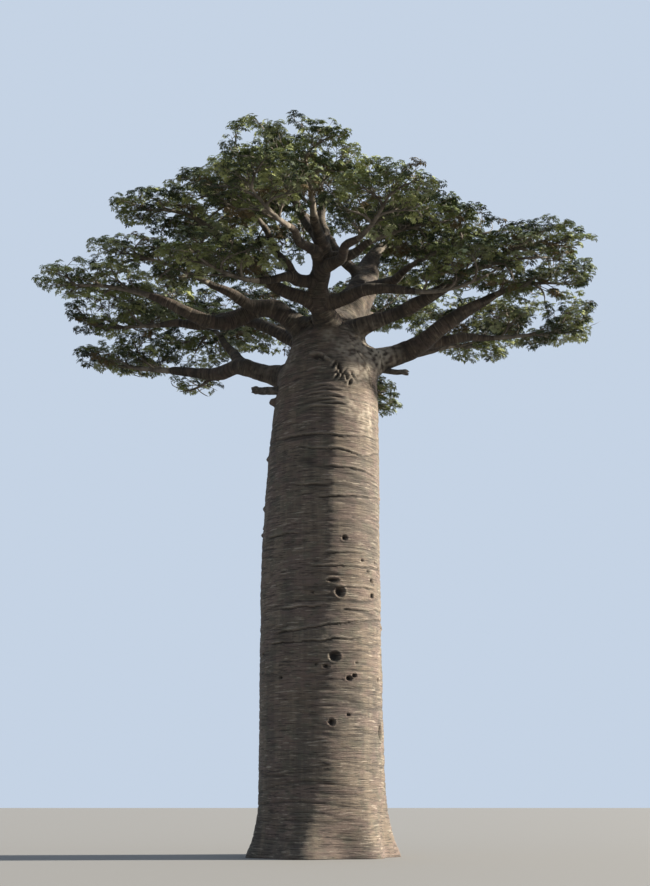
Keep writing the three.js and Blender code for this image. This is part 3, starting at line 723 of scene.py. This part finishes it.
def clefts(angles, heights):  # a deep line with a raised edge towards the trunk, and painted shade in the line
    radius, edge, deep = scarForm["cleft"]
    edgeWidth, lineWidth = scarForm["cleftWidth"]
    relief, dark = np.zeros(len(angles)), np.zeros(len(angles))
    for places in scars["clefts"]:
        near = abs(heights - places[0][1] / 2 - places[-1][1] / 2) < scarForm["cleftReach"]
        rise = np.array([height for _, height in places])
        turns = np.radians([azimuth for azimuth, _ in places])
        line = np.interp(heights[near], rise[::-1], turns[::-1])
        off = wrapped(angles[near] - line) * radius
        inside = np.minimum(heights[near] - rise[-1], rise[0] - heights[near])
        held = np.clip(inside / scarForm["cleftEnd"] + 0.5, 0, 1)
        off = off + lineWidth * noiseAt(np.c_[heights[near], off * 0, off * 0], (3.5, 1, 1), 12)
        groove = hump(off / lineWidth) * held
        relief[near] += edge * hump((off + scarForm["edgeOff"]) / edgeWidth) * held - deep * groove
        dark[near] = np.maximum(dark[near], groove)
    return relief, dark


paleAndSunlitPatches = [  # pale patches, partly worn bark and partly painted sunlight under the fork: azimuth, height, half-width, half-height, how pale
    (340, 16.5, 0.85, 0.75, 1.0), (306, 16.3, 0.5, 0.65, 0.8), (284, 16.3, 0.35, 0.35, 0.5),
    (303, 15.55, 0.5, 0.5, 0.6), (321, 15.8, 0.3, 0.5, 0.6), (268, 16.75, 0.3, 0.3, 0.4),
    (231, 17.65, 0.22, 0.2, 0.8), (296, 14.3, 0.22, 0.42, 0.5), (309, 13.9, 0.18, 0.5, 0.55),
    (322, 13.9, 0.16, 0.6, 0.55), (210, 16.2, 0.4, 0.4, 0.4), (62, 16.1, 0.6, 0.5, 0.6),
    (150, 16.3, 0.5, 0.5, 0.5), (98, 14.2, 0.3, 0.5, 0.45), (12, 15.1, 0.3, 0.5, 0.5),
]


patchForm = {
    "mottle": (6.5, 6.5, 9), "cover": 0.6, "contrast": 1.7,
    "reach": 2.9, "fade": 0.8,  # metres from the trunk's middle
    "radius": 1.75,
}


def worn(angles, heights, points):  # the pale patches, partly wear and partly painted sunlight, broken up by a noise, and only near the trunk
    look = patchForm
    pale = np.zeros(len(angles))
    mottled = np.clip(look["cover"] + look["contrast"] * noiseAt(points, look["mottle"], 17), 0, 1)
    mottled *= np.clip((look["reach"] - np.hypot(points[:, 0], points[:, 1])) / look["fade"], 0, 1)
    for azimuth, height, wide, tall, strength in paleAndSunlitPatches:
        across = turnedBy(angles, azimuth) * look["radius"] / wide
        spot = np.exp(-((across**2 + ((heights - height) / tall) ** 2) ** 1.5))
        pale = np.maximum(pale, strength * spot * mottled)
    return pale


def browRelief(angles, heights, ragged):  # a raised arch over a hollow, with a painted highlight on the arch and painted shadow in the hollow
    azimuth, height, wide, tall, lean = scars["brow"]
    radius, out, deep = scarForm["brow"]
    across = turnedBy(angles, azimuth) * radius
    rise = heights - height + lean * across + ragged
    brow = np.hypot(across / wide, rise / tall)
    arch = hump((brow - 1) / 0.3) * np.clip(rise / 0.06 + 0.5, 0, 1)
    under = hump((brow - 0.45) / 0.32) * np.clip(rise / 0.06 + 1.6, 0, 1)
    return out * arch - deep * under, 0.8 * under, 0.4 * arch


def gashRelief(angles, heights, ragged, gash):  # a short slanting cut with a flap of bark beside it, painted shade in the cut and a painted highlight on the flap
    azimuth, height, lean, tall = gash
    radius, out, deep = scarForm["gash"]
    width = scarForm["gashWidth"]
    rise = heights - height
    off = turnedBy(angles, azimuth) * radius + ragged - lean * rise
    cut = np.exp(-((off / width) ** 2) - (rise / tall) ** 2)
    flap = np.exp(-(((off + scarForm["flapOff"]) / width) ** 2) - (rise / tall) ** 2)
    return out * flap - deep * cut, cut, 0.6 * flap


def foldRelief(angles, heights, ragged, fold):  # a thick roll of bark over a groove, sagging at its ends, painted shade in the groove and a painted highlight on the roll
    azimuth, height, wide = fold
    radius, out, deep = scarForm["fold"]
    bulgeWidth, grooveWidth = scarForm["foldWidth"]
    across = turnedBy(angles, azimuth) * radius / wide
    sag = heights - height + scarForm["foldSag"] * across**2 + 0.6 * ragged
    bulge = np.exp(-(across**2) - (sag / bulgeWidth) ** 2)
    groove = np.exp(-(across**2) - ((sag + scarForm["grooveOff"]) / grooveWidth) ** 2)
    return out * bulge - deep * groove, 0.9 * groove, 0.35 * bulge


def cleftAndScars(angles, heights):  # the brow, the gashes and the thick folds under the fork, with painted shade in their hollows and painted highlights on their raised bark
    ragged = np.c_[angles * 4, heights * 6, heights * 0]
    ragged = scarForm["ragged"] * noiseAt(ragged, (1, 1, 1), 60)
    relief, dark = clefts(angles, heights)
    pale = np.zeros(len(angles))
    found = [browRelief(angles, heights, ragged)]
    found += [gashRelief(angles, heights, ragged, gash) for gash in scars["gashes"]]
    found += [foldRelief(angles, heights, ragged, fold) for fold in scars["folds"]]
    for raised, shaded, pale_wear_and_highlight in found:
        relief += raised
        dark = np.maximum(dark, shaded)
        pale = np.maximum(pale, pale_wear_and_highlight)
    return relief, dark, pale


def trunkRelief(points, angles, radii):
    heights = points[:, 2]
    relief, dark = limbRelief(points, radii)
    crack, crackShade, lipHighlights = crackRelief(angles, heights)
    pit, pitShade = pitRelief(angles, heights, radii)
    scar, scarShade, scarHighlights = cleftAndScars(angles, heights)
    # pale mask: painted highlights on crack lips and raised scar bark, and patches that are partly wear
    # and partly painted sunlight
    pale = np.maximum(np.maximum(lipHighlights, scarHighlights), worn(angles, heights, points))
    quiet = np.clip(1 - pitShade, 0, 1)
    relief = (relief + crack) * quiet + pit + scar + knobRelief(angles, heights, radii)
    # the relief, then masks of painted shade in creases and cracks, of painted shade in the pits, and of
    # painted highlights, sunlit patches and wear
    return relief, np.clip(dark * 0.8 + crackShade + scarShade, 0, 1) * quiet, pitShade, pale * quiet


# The trunk, from the flat cut at the ground to just under its lowest boughs
trunkPiece = {
    "rings": 400, "sides": 240, "top": 14.95, "tuck": 0.035, "tuckReach": 0.09,
    "cut": 0.05,  # the height below which the relief fades out, so that the foot stays flat
}


def onTrunkAt(heights, angles, radii):
    middle = outlineAt(2, heights)
    return np.stack([middle + radii * np.cos(angles), radii * np.sin(angles), heights], axis=1)


def makeTrunk():
    look = trunkPiece
    bm = ringedTube(look["sides"], look["rings"])
    bmesh.ops.recalc_face_normals(bm, faces=bm.faces)
    mesh = meshFrom(bm, "trunk_bark")
    points = readPoints(mesh)
    angles = np.arctan2(points[:, 1], points[:, 0])
    heights = (points[:, 2] + 0.5) * look["top"]
    radii = trunkRadius(heights, angles)
    place = onTrunkAt(heights, angles, radii)
    relief, crease_shade_and_mottle, pit, worn_and_lit = trunkRelief(place, angles, radii)
    tuck = np.clip((heights - look["top"]) / look["tuckReach"] + 1, 0, 1)
    radii = radii + relief * np.clip(heights / look["cut"], 0, 1) - look["tuck"] * tuck
    writePoints(mesh, onTrunkAt(heights, angles, radii))
    writeBark(mesh, place, {"crease_shade_and_mottle": crease_shade_and_mottle, "pit": pit, "limb": pit * 0, "worn_and_lit": worn_and_lit})
    mesh.shade_smooth()
    return mesh


addPiece("trunk_bark", makeTrunk(), barkMaterial, ["trunk"])

# The fork and the boughs, as one skin
forkPiece = {
    "foot": 14.72, "voxel": 0.05, "trunkBlend": 0.2, "limbBlend": 0.05,
    "stepMost": 0.12,  # how far one pass may pull the skin
    "change": 0.12,  # over what distance the trunk's bark changes to a bough's
    "tuck": 0.05, "tuckReach": 0.1, "overlap": 0.04,
    "limbRelief": 0.055,  # how deep a bough's folds are, as a share of its radius
    "usualRelief": 0.022, "reliefMost": 1.2,
    "swell": (0.16, 1.1), "knots": (0.09, 3.4),  # share of the radius, and how many to a metre
}


def evaluated(piece):  # the piece's mesh with its curve or modifiers worked out, in place of the piece
    mesh = bpy.data.meshes.new_from_object(piece.evaluated_get(bpy.context.evaluated_depsgraph_get()))
    bpy.data.objects.remove(piece)
    return mesh


def roughFork():  # closed tubes along all the boughs and the trunk's top, which a remesh then joins
    curve = bpy.data.curves.new("fork", "CURVE")
    curve.dimensions = "3D"
    curve.bevel_depth = 1
    curve.bevel_resolution = 4
    curve.use_fill_caps = True
    top = np.linspace(forkPiece["foot"], trunkOutline[-1, 0], 30)
    core = np.stack([outlineAt(2, top), top * 0, top], axis=1)
    paths = [(core, outlineAt(1, top))]
    for limb in limbs.values():
        shares = np.linspace(0, 1, 40)
        paths.append((limb.line.at(shares), limb.radiusAt(shares)))
    for points, radii in paths:
        spline = curve.splines.new("POLY")
        spline.points.add(len(points) - 1)
        spline.points.foreach_set("co", np.c_[points, np.ones(len(points))].ravel())
        spline.points.foreach_set("radius", radii)
    skin = addObject("fork_skin", evaluated(addObject("fork", curve)))
    remesh = skin.modifiers.new("remesh", "REMESH")
    remesh.mode = "VOXEL"
    remesh.voxel_size = forkPiece["voxel"]
    mesh = evaluated(skin)
    mesh.name = "boughs_bark"
    return mesh


def softest(gaps, blend):  # joins distances so that the skins run into each other in a hollow curve
    least = np.min(gaps, axis=0)
    return least - blend * np.log(np.sum(np.exp((least - gaps) / blend), axis=0))


def limbsNear(points):  # how far points lie outside every limb, and how far along each
    found = [limb.clearance(points) for limb in limbs.values()]
    gaps = np.array([gap for gap, _ in found])
    return gaps, np.array([along for _, along in found])


def normalsOf(mesh):
    normals = np.empty(len(mesh.vertices) * 3)
    mesh.vertex_normals.foreach_get("vector", normals)
    return normals.reshape(-1, 3)


def dressFork(mesh, points, angles, step, gaps, alongs, onTrunk):  # the bark's relief and its masks of painted shade, painted highlights and wear
    look = forkPiece
    grown = list(limbs.values())
    nearest = gaps.argmin(axis=0)
    every = np.arange(len(points))
    along = alongs[nearest, every]
    girth = np.array([limb.radiusAt(along / limb.line.length) for limb in grown])[nearest, every]
    grain = points.copy()
    before = np.array([limb.before for limb in grown])[nearest]
    grain[:, 2] = onTrunk * points[:, 2] + (1 - onTrunk) * (before + along)
    uneven = np.zeros(len(points))
    for part, often in (look["swell"], look["knots"]):
        uneven += part * noiseAt(points, (often, often, often), 8)
    folds, foldShade = limbRelief(grain, np.ones(len(points)))
    folds = folds * np.minimum(look["limbRelief"] * girth / look["usualRelief"], look["reliefMost"])
    radii = trunkRadius(np.clip(points[:, 2], 0, trunkOutline[-1, 0]), angles)
    trunkPart, trunkShade, pitShade, worn_and_lit = trunkRelief(points, angles, radii)
    relief = onTrunk * trunkPart + (1 - onTrunk) * (folds + uneven * girth)
    dark = onTrunk * trunkShade + (1 - onTrunk) * foldShade
    below = trunkPiece["top"] - look["overlap"] - points[:, 2]
    tuck = np.clip(below / look["tuckReach"], 0, 1) * onTrunk
    writeBark(mesh, grain, {"crease_shade_and_mottle": dark, "pit": pitShade * onTrunk, "limb": 1 - onTrunk, "worn_and_lit": worn_and_lit})
    return step + relief - look["tuck"] * tuck


def makeFork():  # pulls the rough skin onto the softly joined limbs, and lays the bark on it last
    look = forkPiece
    mesh = roughFork()
    for last in (False, False, True):
        points, normals = readPoints(mesh), normalsOf(mesh)
        trunkGap, angles = trunkClearance(points)
        gaps, alongs = limbsNear(points)
        boughGap = softest(gaps, look["limbBlend"])
        joined = softest(np.array([trunkGap, boughGap]), look["trunkBlend"])
        step = np.clip(-joined, -look["stepMost"], look["stepMost"])
        if last:
            onTrunk = np.clip(0.5 + (boughGap - trunkGap) / look["change"], 0, 1)
            step = dressFork(mesh, points, angles, step, gaps, alongs, onTrunk)
        writePoints(mesh, points + normals * step[:, None])
    mesh.shade_smooth()
    return mesh


boughNodes = ["bough_" + name for name in limbs]
addPiece("boughs_bark", makeFork(), barkMaterial, ["trunk", *boughNodes])

# Dead stubs of lost boughs
stubs = [
    {"name": "stub_left", "height": 15.1, "azimuth": 186, "length": 0.9, "radius": 0.12, "slope": 3},
    {"name": "stub_right", "height": 16.25, "azimuth": 356, "length": 1.3, "radius": 0.085, "slope": -8},
]
stubForm = {
    "base": 1.9, "bend": (0.8, 0.04), "sides": 20, "rings": 44, "ragged": 0.09, "hollow": 0.1,
    "insets": (0.25, 0.4), "rough": 0.16, "knots": 0.07, "flare": 0.25,
    "buried": 0.25,  # metres inside the trunk
    "broken": (0.9, 0.1),  # shares of the length: where the broken end starts, and how long it is
}


def makeStub(stub, index):
    look = stubForm
    start = np.array([outlineAt(2, stub["height"]), 0, stub["height"]], float)
    slope = math.radians(stub["slope"])
    out = polar(stub["azimuth"], math.cos(slope), math.sin(slope))
    inside = float(trunkRadius(stub["height"], math.radians(stub["azimuth"])))
    tip = start + out * (inside + stub["length"])
    line = boughPath(start, [look["bend"]], tip, len(boughs) + index)
    bm = ringedTube(look["sides"], look["rings"])
    end = [face for face in bm.faces if face.calc_center_median().z > 0.49 and len(face.verts) > 4]
    for inward in look["insets"]:
        bmesh.ops.inset_individual(bm, faces=end, thickness=inward, use_even_offset=True)
    bmesh.ops.translate(bm, verts=end[0].verts, vec=(0, 0, -look["hollow"] / line.length))
    bmesh.ops.triangulate(bm, faces=end)
    mesh = meshFrom(bm, stub["name"])
    points = readPoints(mesh)
    angles, reach = np.arctan2(points[:, 1], points[:, 0]), np.hypot(points[:, 0], points[:, 1])
    around = np.c_[np.cos(angles), np.sin(angles)]
    first = (inside - look["buried"]) / line.length
    shares = np.clip(first + (points[:, 2] + 0.5) * (1 - first), 0, 1)
    broken = np.clip((shares - look["broken"][0]) / look["broken"][1], 0, 1)
    jagged = noiseAt(np.c_[around, angles * 0], (2.6, 2.6, 1), 5 + index)
    shares = np.clip(shares + broken * look["ragged"] * jagged / line.length - 0.03 * broken, 0, 1)
    way = line.heading(shares)
    across = unit(np.cross(way, upward))
    turned = across * around[:, :1] + np.cross(across, way) * around[:, 1:]
    skin = np.c_[around, shares * line.length]
    rough = look["rough"] * noiseAt(skin, (1.3, 1.3, 3), 21)
    knots = look["knots"] * noiseAt(skin, (3, 3, 9), 3)
    girth = stub["radius"] * (look["base"] - shares) * (1 + rough + knots) * reach
    girth = girth * (1 + look["flare"] * broken * (1 - broken) * 4)
    writePoints(mesh, line.at(shares) + turned * girth[:, None])
    mesh.shade_smooth()
    return mesh


for index, stub in enumerate(stubs):
    addPiece(stub["name"] + "_wood", makeStub(stub, index), deadMaterial, [stub["name"]])

# The masses of leafy twigs, by the rule that the solids follow, carried on to finer twigs
sprayForm = {
    "count": 68,  # sprays in a full mass
    "usual": 1.0, "longest": 1.75, "girth": 0.019, "tip": 0.006, "stations": 6, "sag": 0.06,
    "turnBack": 0.5, "crowded": 0.25,  # metres of way that a turn or another spray at the seat counts as
    "levels": (0.75, -0.15, 0.38, -0.6), "deep": 2.45,  # only a mass as deep as this uses all levels
    "deepMass": 1.8, "edge": 0.9, "tuftReach": 0.9, "ragged": 0.2,
    "sprayApart": -0.05, "tuftApart": -0.1,  # metres short of halfway to the next mass, so past it
    "limbGap": 0.1, "trunkGap": 0.15,  # metres that a tuft's middle keeps from bark
    "past": 0.2,  # how far a tuft may stand past the furthest of the solids, in metres
    "thinning": (1.02, 0.02),  # how the sprays thin out with the distance from the trunk, in metres
    "twiglets": 6, "twigletLength": (0.5, 0.24), "splay": 52, "lift": 0.3,
    "twigletGirths": (0.011, 0.008, 0.005), "twigletSag": 0.03,
    "twigletSpan": (0.2, 0.75),  # the share of a spray where they start, and over how much they go on
    "lastTwiglet": 0.93, "fullSpray": 1.2,  # metres, from which a spray has all its twiglets
}
leafForm = {
    "leaves": 7, "leaflets": 5, "kinds": 14,
    "lift": (62, -74),  # degrees: the uppermost leaf's, and how much lower the lowest is
    "petiole": (0.05, 0.12), "leaflet": (0.105, 0.16), "width": 0.36, "fold": 0.22,
    "fan": 92,  # degrees to each side
    "broadest": 0.58, "tipDrop": 0.06, "hang": 0.25, "outerShorter": 0.22, "tilt": (0.45, 0.16),
    "droop": (0.15, 0.6), "size": (0.85, 1.15), "tuftsInPiece": 3200,
}


class Space:  # the flattened round space of a mass, along its bough's heading
    def __init__(self, limb):
        length, width, depth = limb.leaves
        self.limb = limb
        self.tip = limb.line.at(1.0)
        self.way = limb.line.heading(1.0)
        self.along = unit(self.way * (1, 1, 0))
        self.across = np.cross(upward, self.along)
        ahead = self.along * massForm["seat"] * length
        self.middle = self.tip + ahead + upward * (limb.lift + massForm["raise"]) * depth
        self.half = np.array(massForm["half"]) * (length, width, depth)
        self.size = min(1, math.hypot(self.half[0], self.half[1]) / massForm["usual"])
        self.axes = np.stack([self.along, self.across, upward])

    def local(self, points):
        return (points - self.middle) @ self.axes.T / self.half

    def world(self, x, y, z):
        return self.middle + (np.array([x, y, z]) * self.half) @ self.axes

    def keeps(self, points, apart, reach=1.0):  # inside the space, on its own side of its neighbours
        kept = np.linalg.norm(self.local(points), axis=1) < reach
        for other in spaces:
            if other is not self:
                way = other.middle - self.middle
                halfway = np.linalg.norm(way) / 2 - apart
                kept &= (points - self.middle) @ unit(way) < halfway
        return kept


spaces = [Space(limb) for limb in limbs.values()]


def bezier(start, middle, end, shares):
    t = np.asarray(shares)[..., None]
    return (1 - t) ** 2 * start + 2 * t * (1 - t) * middle + t**2 * end


def stemPath(space):  # the stem carries on from its bough's tip
    end = space.world(massForm["stemEnd"], 0, vary(-0.35, 0, space.limb.index, 3))
    middle = space.tip + space.way * np.linalg.norm(end - space.tip) / 2
    return bezier(space.tip, middle, end, np.linspace(0, 1, massForm["stemStations"] + 1))


def leafPlace(space, seed, i, count):  # a spiral over the mass's whole width, high and low by turns
    out = math.sqrt((i + 0.6) / count)
    turn = i * goldenAngle + seed
    rise = math.sqrt(1 - min(out, 0.97) ** 2)
    levels = sprayForm["levels"] if space.limb.leaves[2] > sprayForm["deep"] else sprayForm["levels"][:3]
    level = levels[i % len(levels)] * rise + vary(-0.1, 0.1, seed, i, 11)
    edge = sprayForm["edge"] * out
    return space.world(edge * math.cos(turn), edge * math.sin(turn), sprayForm["edge"] * level)


def growTwigs(space, stem):  # the stem's side twigs, and the seats on both that sprays can leave from
    form, seed, last = massForm, space.limb.index, massForm["stemStations"]
    stations = form["twigStations"] + 1
    seats = [(stem[i], unit(stem[i] - stem[i - 1])) for i in range(form["firstSeat"], last + 1, 2)]
    twigs = []
    for i in range(form["twigs"]):
        place = round((i + 0.5) / form["twigs"] * last)
        start = stem[place]
        x = space.local(start)[0] + vary(0.05, 0.3, seed, i, 5)
        y = (1 if i % 2 else -1) * form["twigEnd"] * vary(0.8, 1.15, seed, i, 4)
        z = form["twigLevels"][i % 4] + vary(-0.1, 0.1, seed, i, 6)
        end = space.world(x, y, z)
        ahead = unit(stem[min(place + 1, last)] - stem[place - 1])
        bend = start + (ahead + unit(end - start)) * form["twigBend"] * np.linalg.norm(end - start)
        twig = bezier(start, bend, end, np.linspace(0, 1, stations))
        twigs.append((twig, np.linspace(form["twigGirth"] * space.size, form["twigTip"], stations)))
        seats += [(twig[k], unit(twig[k] - twig[k - 1])) for k in range(2, stations)]
    places, ways = (np.array(column) for column in zip(*seats))
    return twigs, places, ways


def sprayCount(space):
    full, less = sprayForm["thinning"]
    full -= less * math.hypot(space.middle[0], space.middle[1])
    deep = math.sqrt(space.limb.leaves[2] / sprayForm["deepMass"])
    return round(sprayForm["count"] * full * space.size**2 * deep)


def growMass(space, rng):  # all the wood of one mass, and where its tufts of leaves stand
    form, stem, count = sprayForm, stemPath(space), sprayCount(space)
    twigs, seats, seatWays = growTwigs(space, stem)
    thick, thin = massForm["stemGirth"] * space.limb.tip, massForm["twigGirth"] * massForm["stemTip"]
    stems = [(stem[::2], np.linspace(thick, thin, len(stem[::2])))]
    sprays, tufts = [], []
    used = np.zeros(len(seats))
    for i in range(count):
        ways = leafPlace(space, space.limb.index, i, count) - seats
        far = np.linalg.norm(ways, axis=1)
        turnBack = 1 - (unit(ways) * seatWays).sum(1)
        cost = abs(far - form["usual"] * space.size) + form["turnBack"] * turnBack
        best = int((cost + form["crowded"] * used).argmin())
        used[best] += 1
        start, way = seats[best], ways[best]
        length = min(far[best], form["longest"])
        end = start + way / far[best] * length
        bend = start + unit(seatWays[best] + unit(way)) * length * 0.5 - upward * form["sag"] * length
        spray = bezier(start, bend, end, np.linspace(0, 1, form["stations"]))
        if space.keeps(spray[-1:], form["sprayApart"])[0]:
            sprays.append((spray, np.linspace(form["girth"], form["tip"], form["stations"])))
            tufts += growTwiglets(spray, i, rng)
    return {"stems": stems, "twigs": twigs, "sprays": sprays}, tufts


def growTwiglets(spray, number, rng):  # twiglets leave a spray by turns to both sides
    path = Line(spray)
    found = [(path.at(sprayForm["lastTwiglet"]), path.at(1.0), path.heading(1.0), number)]
    side = unit(np.cross(upward, path.heading(0.5)))
    count = max(3, round(sprayForm["twiglets"] * min(1, path.length / sprayForm["fullSpray"])))
    longest, shortest = sprayForm["twigletLength"]
    begin, span = sprayForm["twigletSpan"]
    for k in range(count):
        share = begin + span * (k + 0.5) / count
        start, ahead = path.at(share), path.heading(share)
        splay = math.radians(sprayForm["splay"] * rng.uniform(0.75, 1.25))
        hand = 1 if k % 2 else -1
        way = ahead * math.cos(splay) + side * hand * math.sin(splay)
        way = unit(way + upward * sprayForm["lift"] * rng.uniform(-0.3, 1.6))
        length = (longest + (shortest - longest) * share) * rng.uniform(0.75, 1.2)
        found.append((start, start + way * length, way, number))
    return found


def joinTubes(runs, sides):  # closed, tapering tubes along many paths of equal count, as triangles
    points = np.array([points for points, _ in runs])
    radii = np.array([radii for _, radii in runs])
    tubes, stations = radii.shape
    way = unit(np.gradient(points, axis=1))
    chord = points[:, -1] - points[:, 0]
    across = np.cross(chord, upward)
    across[np.linalg.norm(across, axis=1) < 1e-6] = (1, 0, 0)
    across = np.repeat(across[:, None], stations, axis=1)
    across = unit(across - (across * way).sum(2, keepdims=True) * way)
    rise = np.cross(across, way)
    turn = np.arange(sides) * 2 * math.pi / sides
    ring = across[:, :, None] * np.cos(turn)[:, None] + rise[:, :, None] * np.sin(turn)[:, None]
    rings = points[:, :, None] + ring * radii[:, :, None, None]
    body = rings[:, :-1].reshape(tubes, -1, 3)
    vertices = np.concatenate([body, points[:, -1:]], axis=1)
    faces = []
    for station in range(stations - 2):
        for k in range(sides):
            a, b = station * sides + k, station * sides + (k + 1) % sides
            faces += [(a, a + sides, b), (b, a + sides, b + sides)]
    last, apex = (stations - 2) * sides, (stations - 1) * sides
    faces += [(last + k, apex, last + (k + 1) % sides) for k in range(sides)]
    faces += [(0, k, k + 1) for k in range(1, sides - 1)]
    starts = np.arange(tubes)[:, None, None] * vertices.shape[1]
    return vertices.reshape(-1, 3), (np.array(faces)[None] + starts).reshape(-1, 3)


def meshOf(name, parts):  # one mesh from lists of vertices and triangles
    vertices, faces, count = [], [], 0
    for places, triangles in parts:
        vertices.append(places)
        faces.append(triangles + count)
        count += len(places)
    vertices, faces = np.concatenate(vertices), np.concatenate(faces)
    mesh = bpy.data.meshes.new(name)
    mesh.vertices.add(len(vertices))
    mesh.vertices.foreach_set("co", vertices.astype(np.float32).ravel())
    mesh.loops.add(faces.size)
    mesh.loops.foreach_set("vertex_index", faces.astype(np.int32).ravel())
    mesh.polygons.add(len(faces))
    mesh.polygons.foreach_set("loop_start", np.arange(0, faces.size, 3, dtype=np.int32))
    mesh.update(calc_edges=True)
    mesh.validate()
    return mesh


def leafletCorners(hub, way, length, lie):  # one folded leaflet, widest past its middle
    width = length * leafForm["width"] / 2
    across = unit(np.cross(lie, way))
    face = np.cross(way, across)
    broad = hub + way * length * leafForm["broadest"] + face * width * leafForm["fold"]
    tip = hub + way * length - face * length * leafForm["tipDrop"]
    return [hub, broad - across * width, tip, broad + across * width]


def tuftKind(rng):  # a tuft of stalked leaves, each a fan of leaflets that hang a little
    form, corners = leafForm, []
    for j in range(form["leaves"]):
        turn = j * goldenAngle + rng.uniform(-0.3, 0.3)
        highest, lower = form["lift"]
        lift = math.radians(highest + lower * (j + 0.5) / form["leaves"] + rng.uniform(-10, 10))
        outward = np.array([math.cos(turn), math.sin(turn), 0])
        stalk = (outward * math.cos(lift) + upward * math.sin(lift)) * rng.uniform(*form["petiole"])
        ahead = unit(outward - upward * rng.uniform(*form["droop"]))
        side = np.cross(upward, outward)
        lie = unit(np.cross(ahead, side))
        for k in range(form["leaflets"]):
            fan = form["fan"] * (2 * k / (form["leaflets"] - 1) - 1)
            fan = math.radians(fan + rng.uniform(-8, 8))
            way = unit(ahead * math.cos(fan) + side * math.sin(fan) - upward * form["hang"])
            length = rng.uniform(*form["leaflet"]) * (1 - form["outerShorter"] * abs(math.sin(fan)))
            corners.append(leafletCorners(stalk, way, length, lie))
    return np.array(corners)


def placeTufts(places, ways, kinds, rng):  # copies of the tufts, turned, tilted and sized by chance
    chosen = rng.integers(len(kinds), size=len(places))
    turn = rng.uniform(0, 2 * math.pi, len(places))
    outward, stray = leafForm["tilt"]
    top = unit(upward + ways * outward + rng.normal(0, stray, (len(places), 3)))
    side = np.stack([np.cos(turn), np.sin(turn), np.zeros(len(places))], axis=1)
    side = unit(side - (side * top).sum(1, keepdims=True) * top)
    axes = np.stack([side, np.cross(top, side), top], axis=1)
    axes = axes * rng.uniform(*leafForm["size"], (len(places), 1, 1))
    corners = np.einsum("tlci,tij->tlcj", np.array(kinds)[chosen], axes) + places[:, None, None]
    starts = np.arange(corners.shape[0] * corners.shape[1])[:, None, None] * 4
    faces = starts + np.array([(0, 1, 2), (0, 2, 3)])
    return corners.reshape(-1, 3), faces.reshape(-1, 3)


leafShares = {  # how many sprays take each colour: low in their mass, and high in it; sunny (painted sunlight) gains and deep (painted shade) loses towards the top
    "sunny": (0.1, 0.28), "olive": (0.24, 0.3), "deep": (0.44, 0.2),
    "dusty": (0.15, 0.17), "russet": (0.07, 0.05),
}


def standingFree(space, ends):  # which tufts keep to their space, the tree's box and off the limbs
    form = sprayForm
    ragged = form["ragged"] * noiseAt(ends, (0.9, 0.9, 0.9), 33)
    kept = space.keeps(ends, form["tuftApart"], np.minimum(form["tuftReach"] + ragged, 0.99))
    gaps, _ = limbsNear(ends)
    trunkGap, _ = trunkClearance(ends)
    low, high = np.array(cadBox[0]) - form["past"], np.array(cadBox[1]) + form["past"]
    within = np.all((ends > low) & (ends < high), axis=1)
    return kept & (gaps.min(axis=0) > form["limbGap"]) & (trunkGap > form["trunkGap"]) & within


def colourFor(height, rng):  # the higher in its mass, the more painted sunlight and the less painted shade
    weights = np.array([under + (above - under) * height for under, above in leafShares.values()])
    return str(rng.choice(list(leafShares), p=weights / weights.sum()))


def growCrown():
    rng = np.random.default_rng(11)
    wood = {"stems": [], "twigs": [], "sprays": [], "twiglets": []}
    tufts = {colour: [] for colour in leafShares}
    for space in spaces:
        grown, found = growMass(space, rng)
        for kind, runs in grown.items():
            wood[kind] += runs
        ends = np.array([end for _, end, _, _ in found])
        kept = standingFree(space, ends)
        height = np.clip(space.local(ends)[:, 2] * 0.5 + 0.5, 0, 1)
        sprayColours = {}
        for i, (start, end, way, number) in enumerate(found):
            if number not in sprayColours:
                sprayColours[number] = colourFor(height[i], rng)
            if kept[i]:
                middle = (start + end) / 2 - upward * sprayForm["twigletSag"]
                girths = np.array(sprayForm["twigletGirths"])
                wood["twiglets"].append((np.array([start, middle, end]), girths))
                tufts[sprayColours[number]].append((end, way))
    return wood, tufts


def addCrown():
    wood, tufts = growCrown()
    massNodes = ["leaves_" + name for name in limbs]
    coarse = [joinTubes(wood["stems"], 8), joinTubes(wood["twigs"], 7)]
    stems = addPiece("leafy_stems", meshOf("leafy_stems", coarse), twigMaterial, massNodes)
    stems.data.shade_smooth()
    fine = [joinTubes(wood["sprays"], 3), joinTubes(wood["twiglets"], 3)]
    addPiece("fine_twigs", meshOf("fine_twigs", fine), twigMaterial, massNodes)
    rng = np.random.default_rng(29)
    kinds = [tuftKind(rng) for _ in range(leafForm["kinds"])]
    total = 0
    for colour, found in tufts.items():
        places, ways = (np.array(column) for column in zip(*found))
        pieces = math.ceil(len(found) / leafForm["tuftsInPiece"])
        for number, part in enumerate(np.array_split(np.arange(len(found)), pieces)):
            name = f"leaves_{colour}_{number + 1}"
            mesh = meshOf(name, [placeTufts(places[part], ways[part], kinds, rng)])
            addPiece(name, mesh, leafMaterials[colour], massNodes)
        total += len(found)
    print("tufts of leaves:", total)


addCrown()
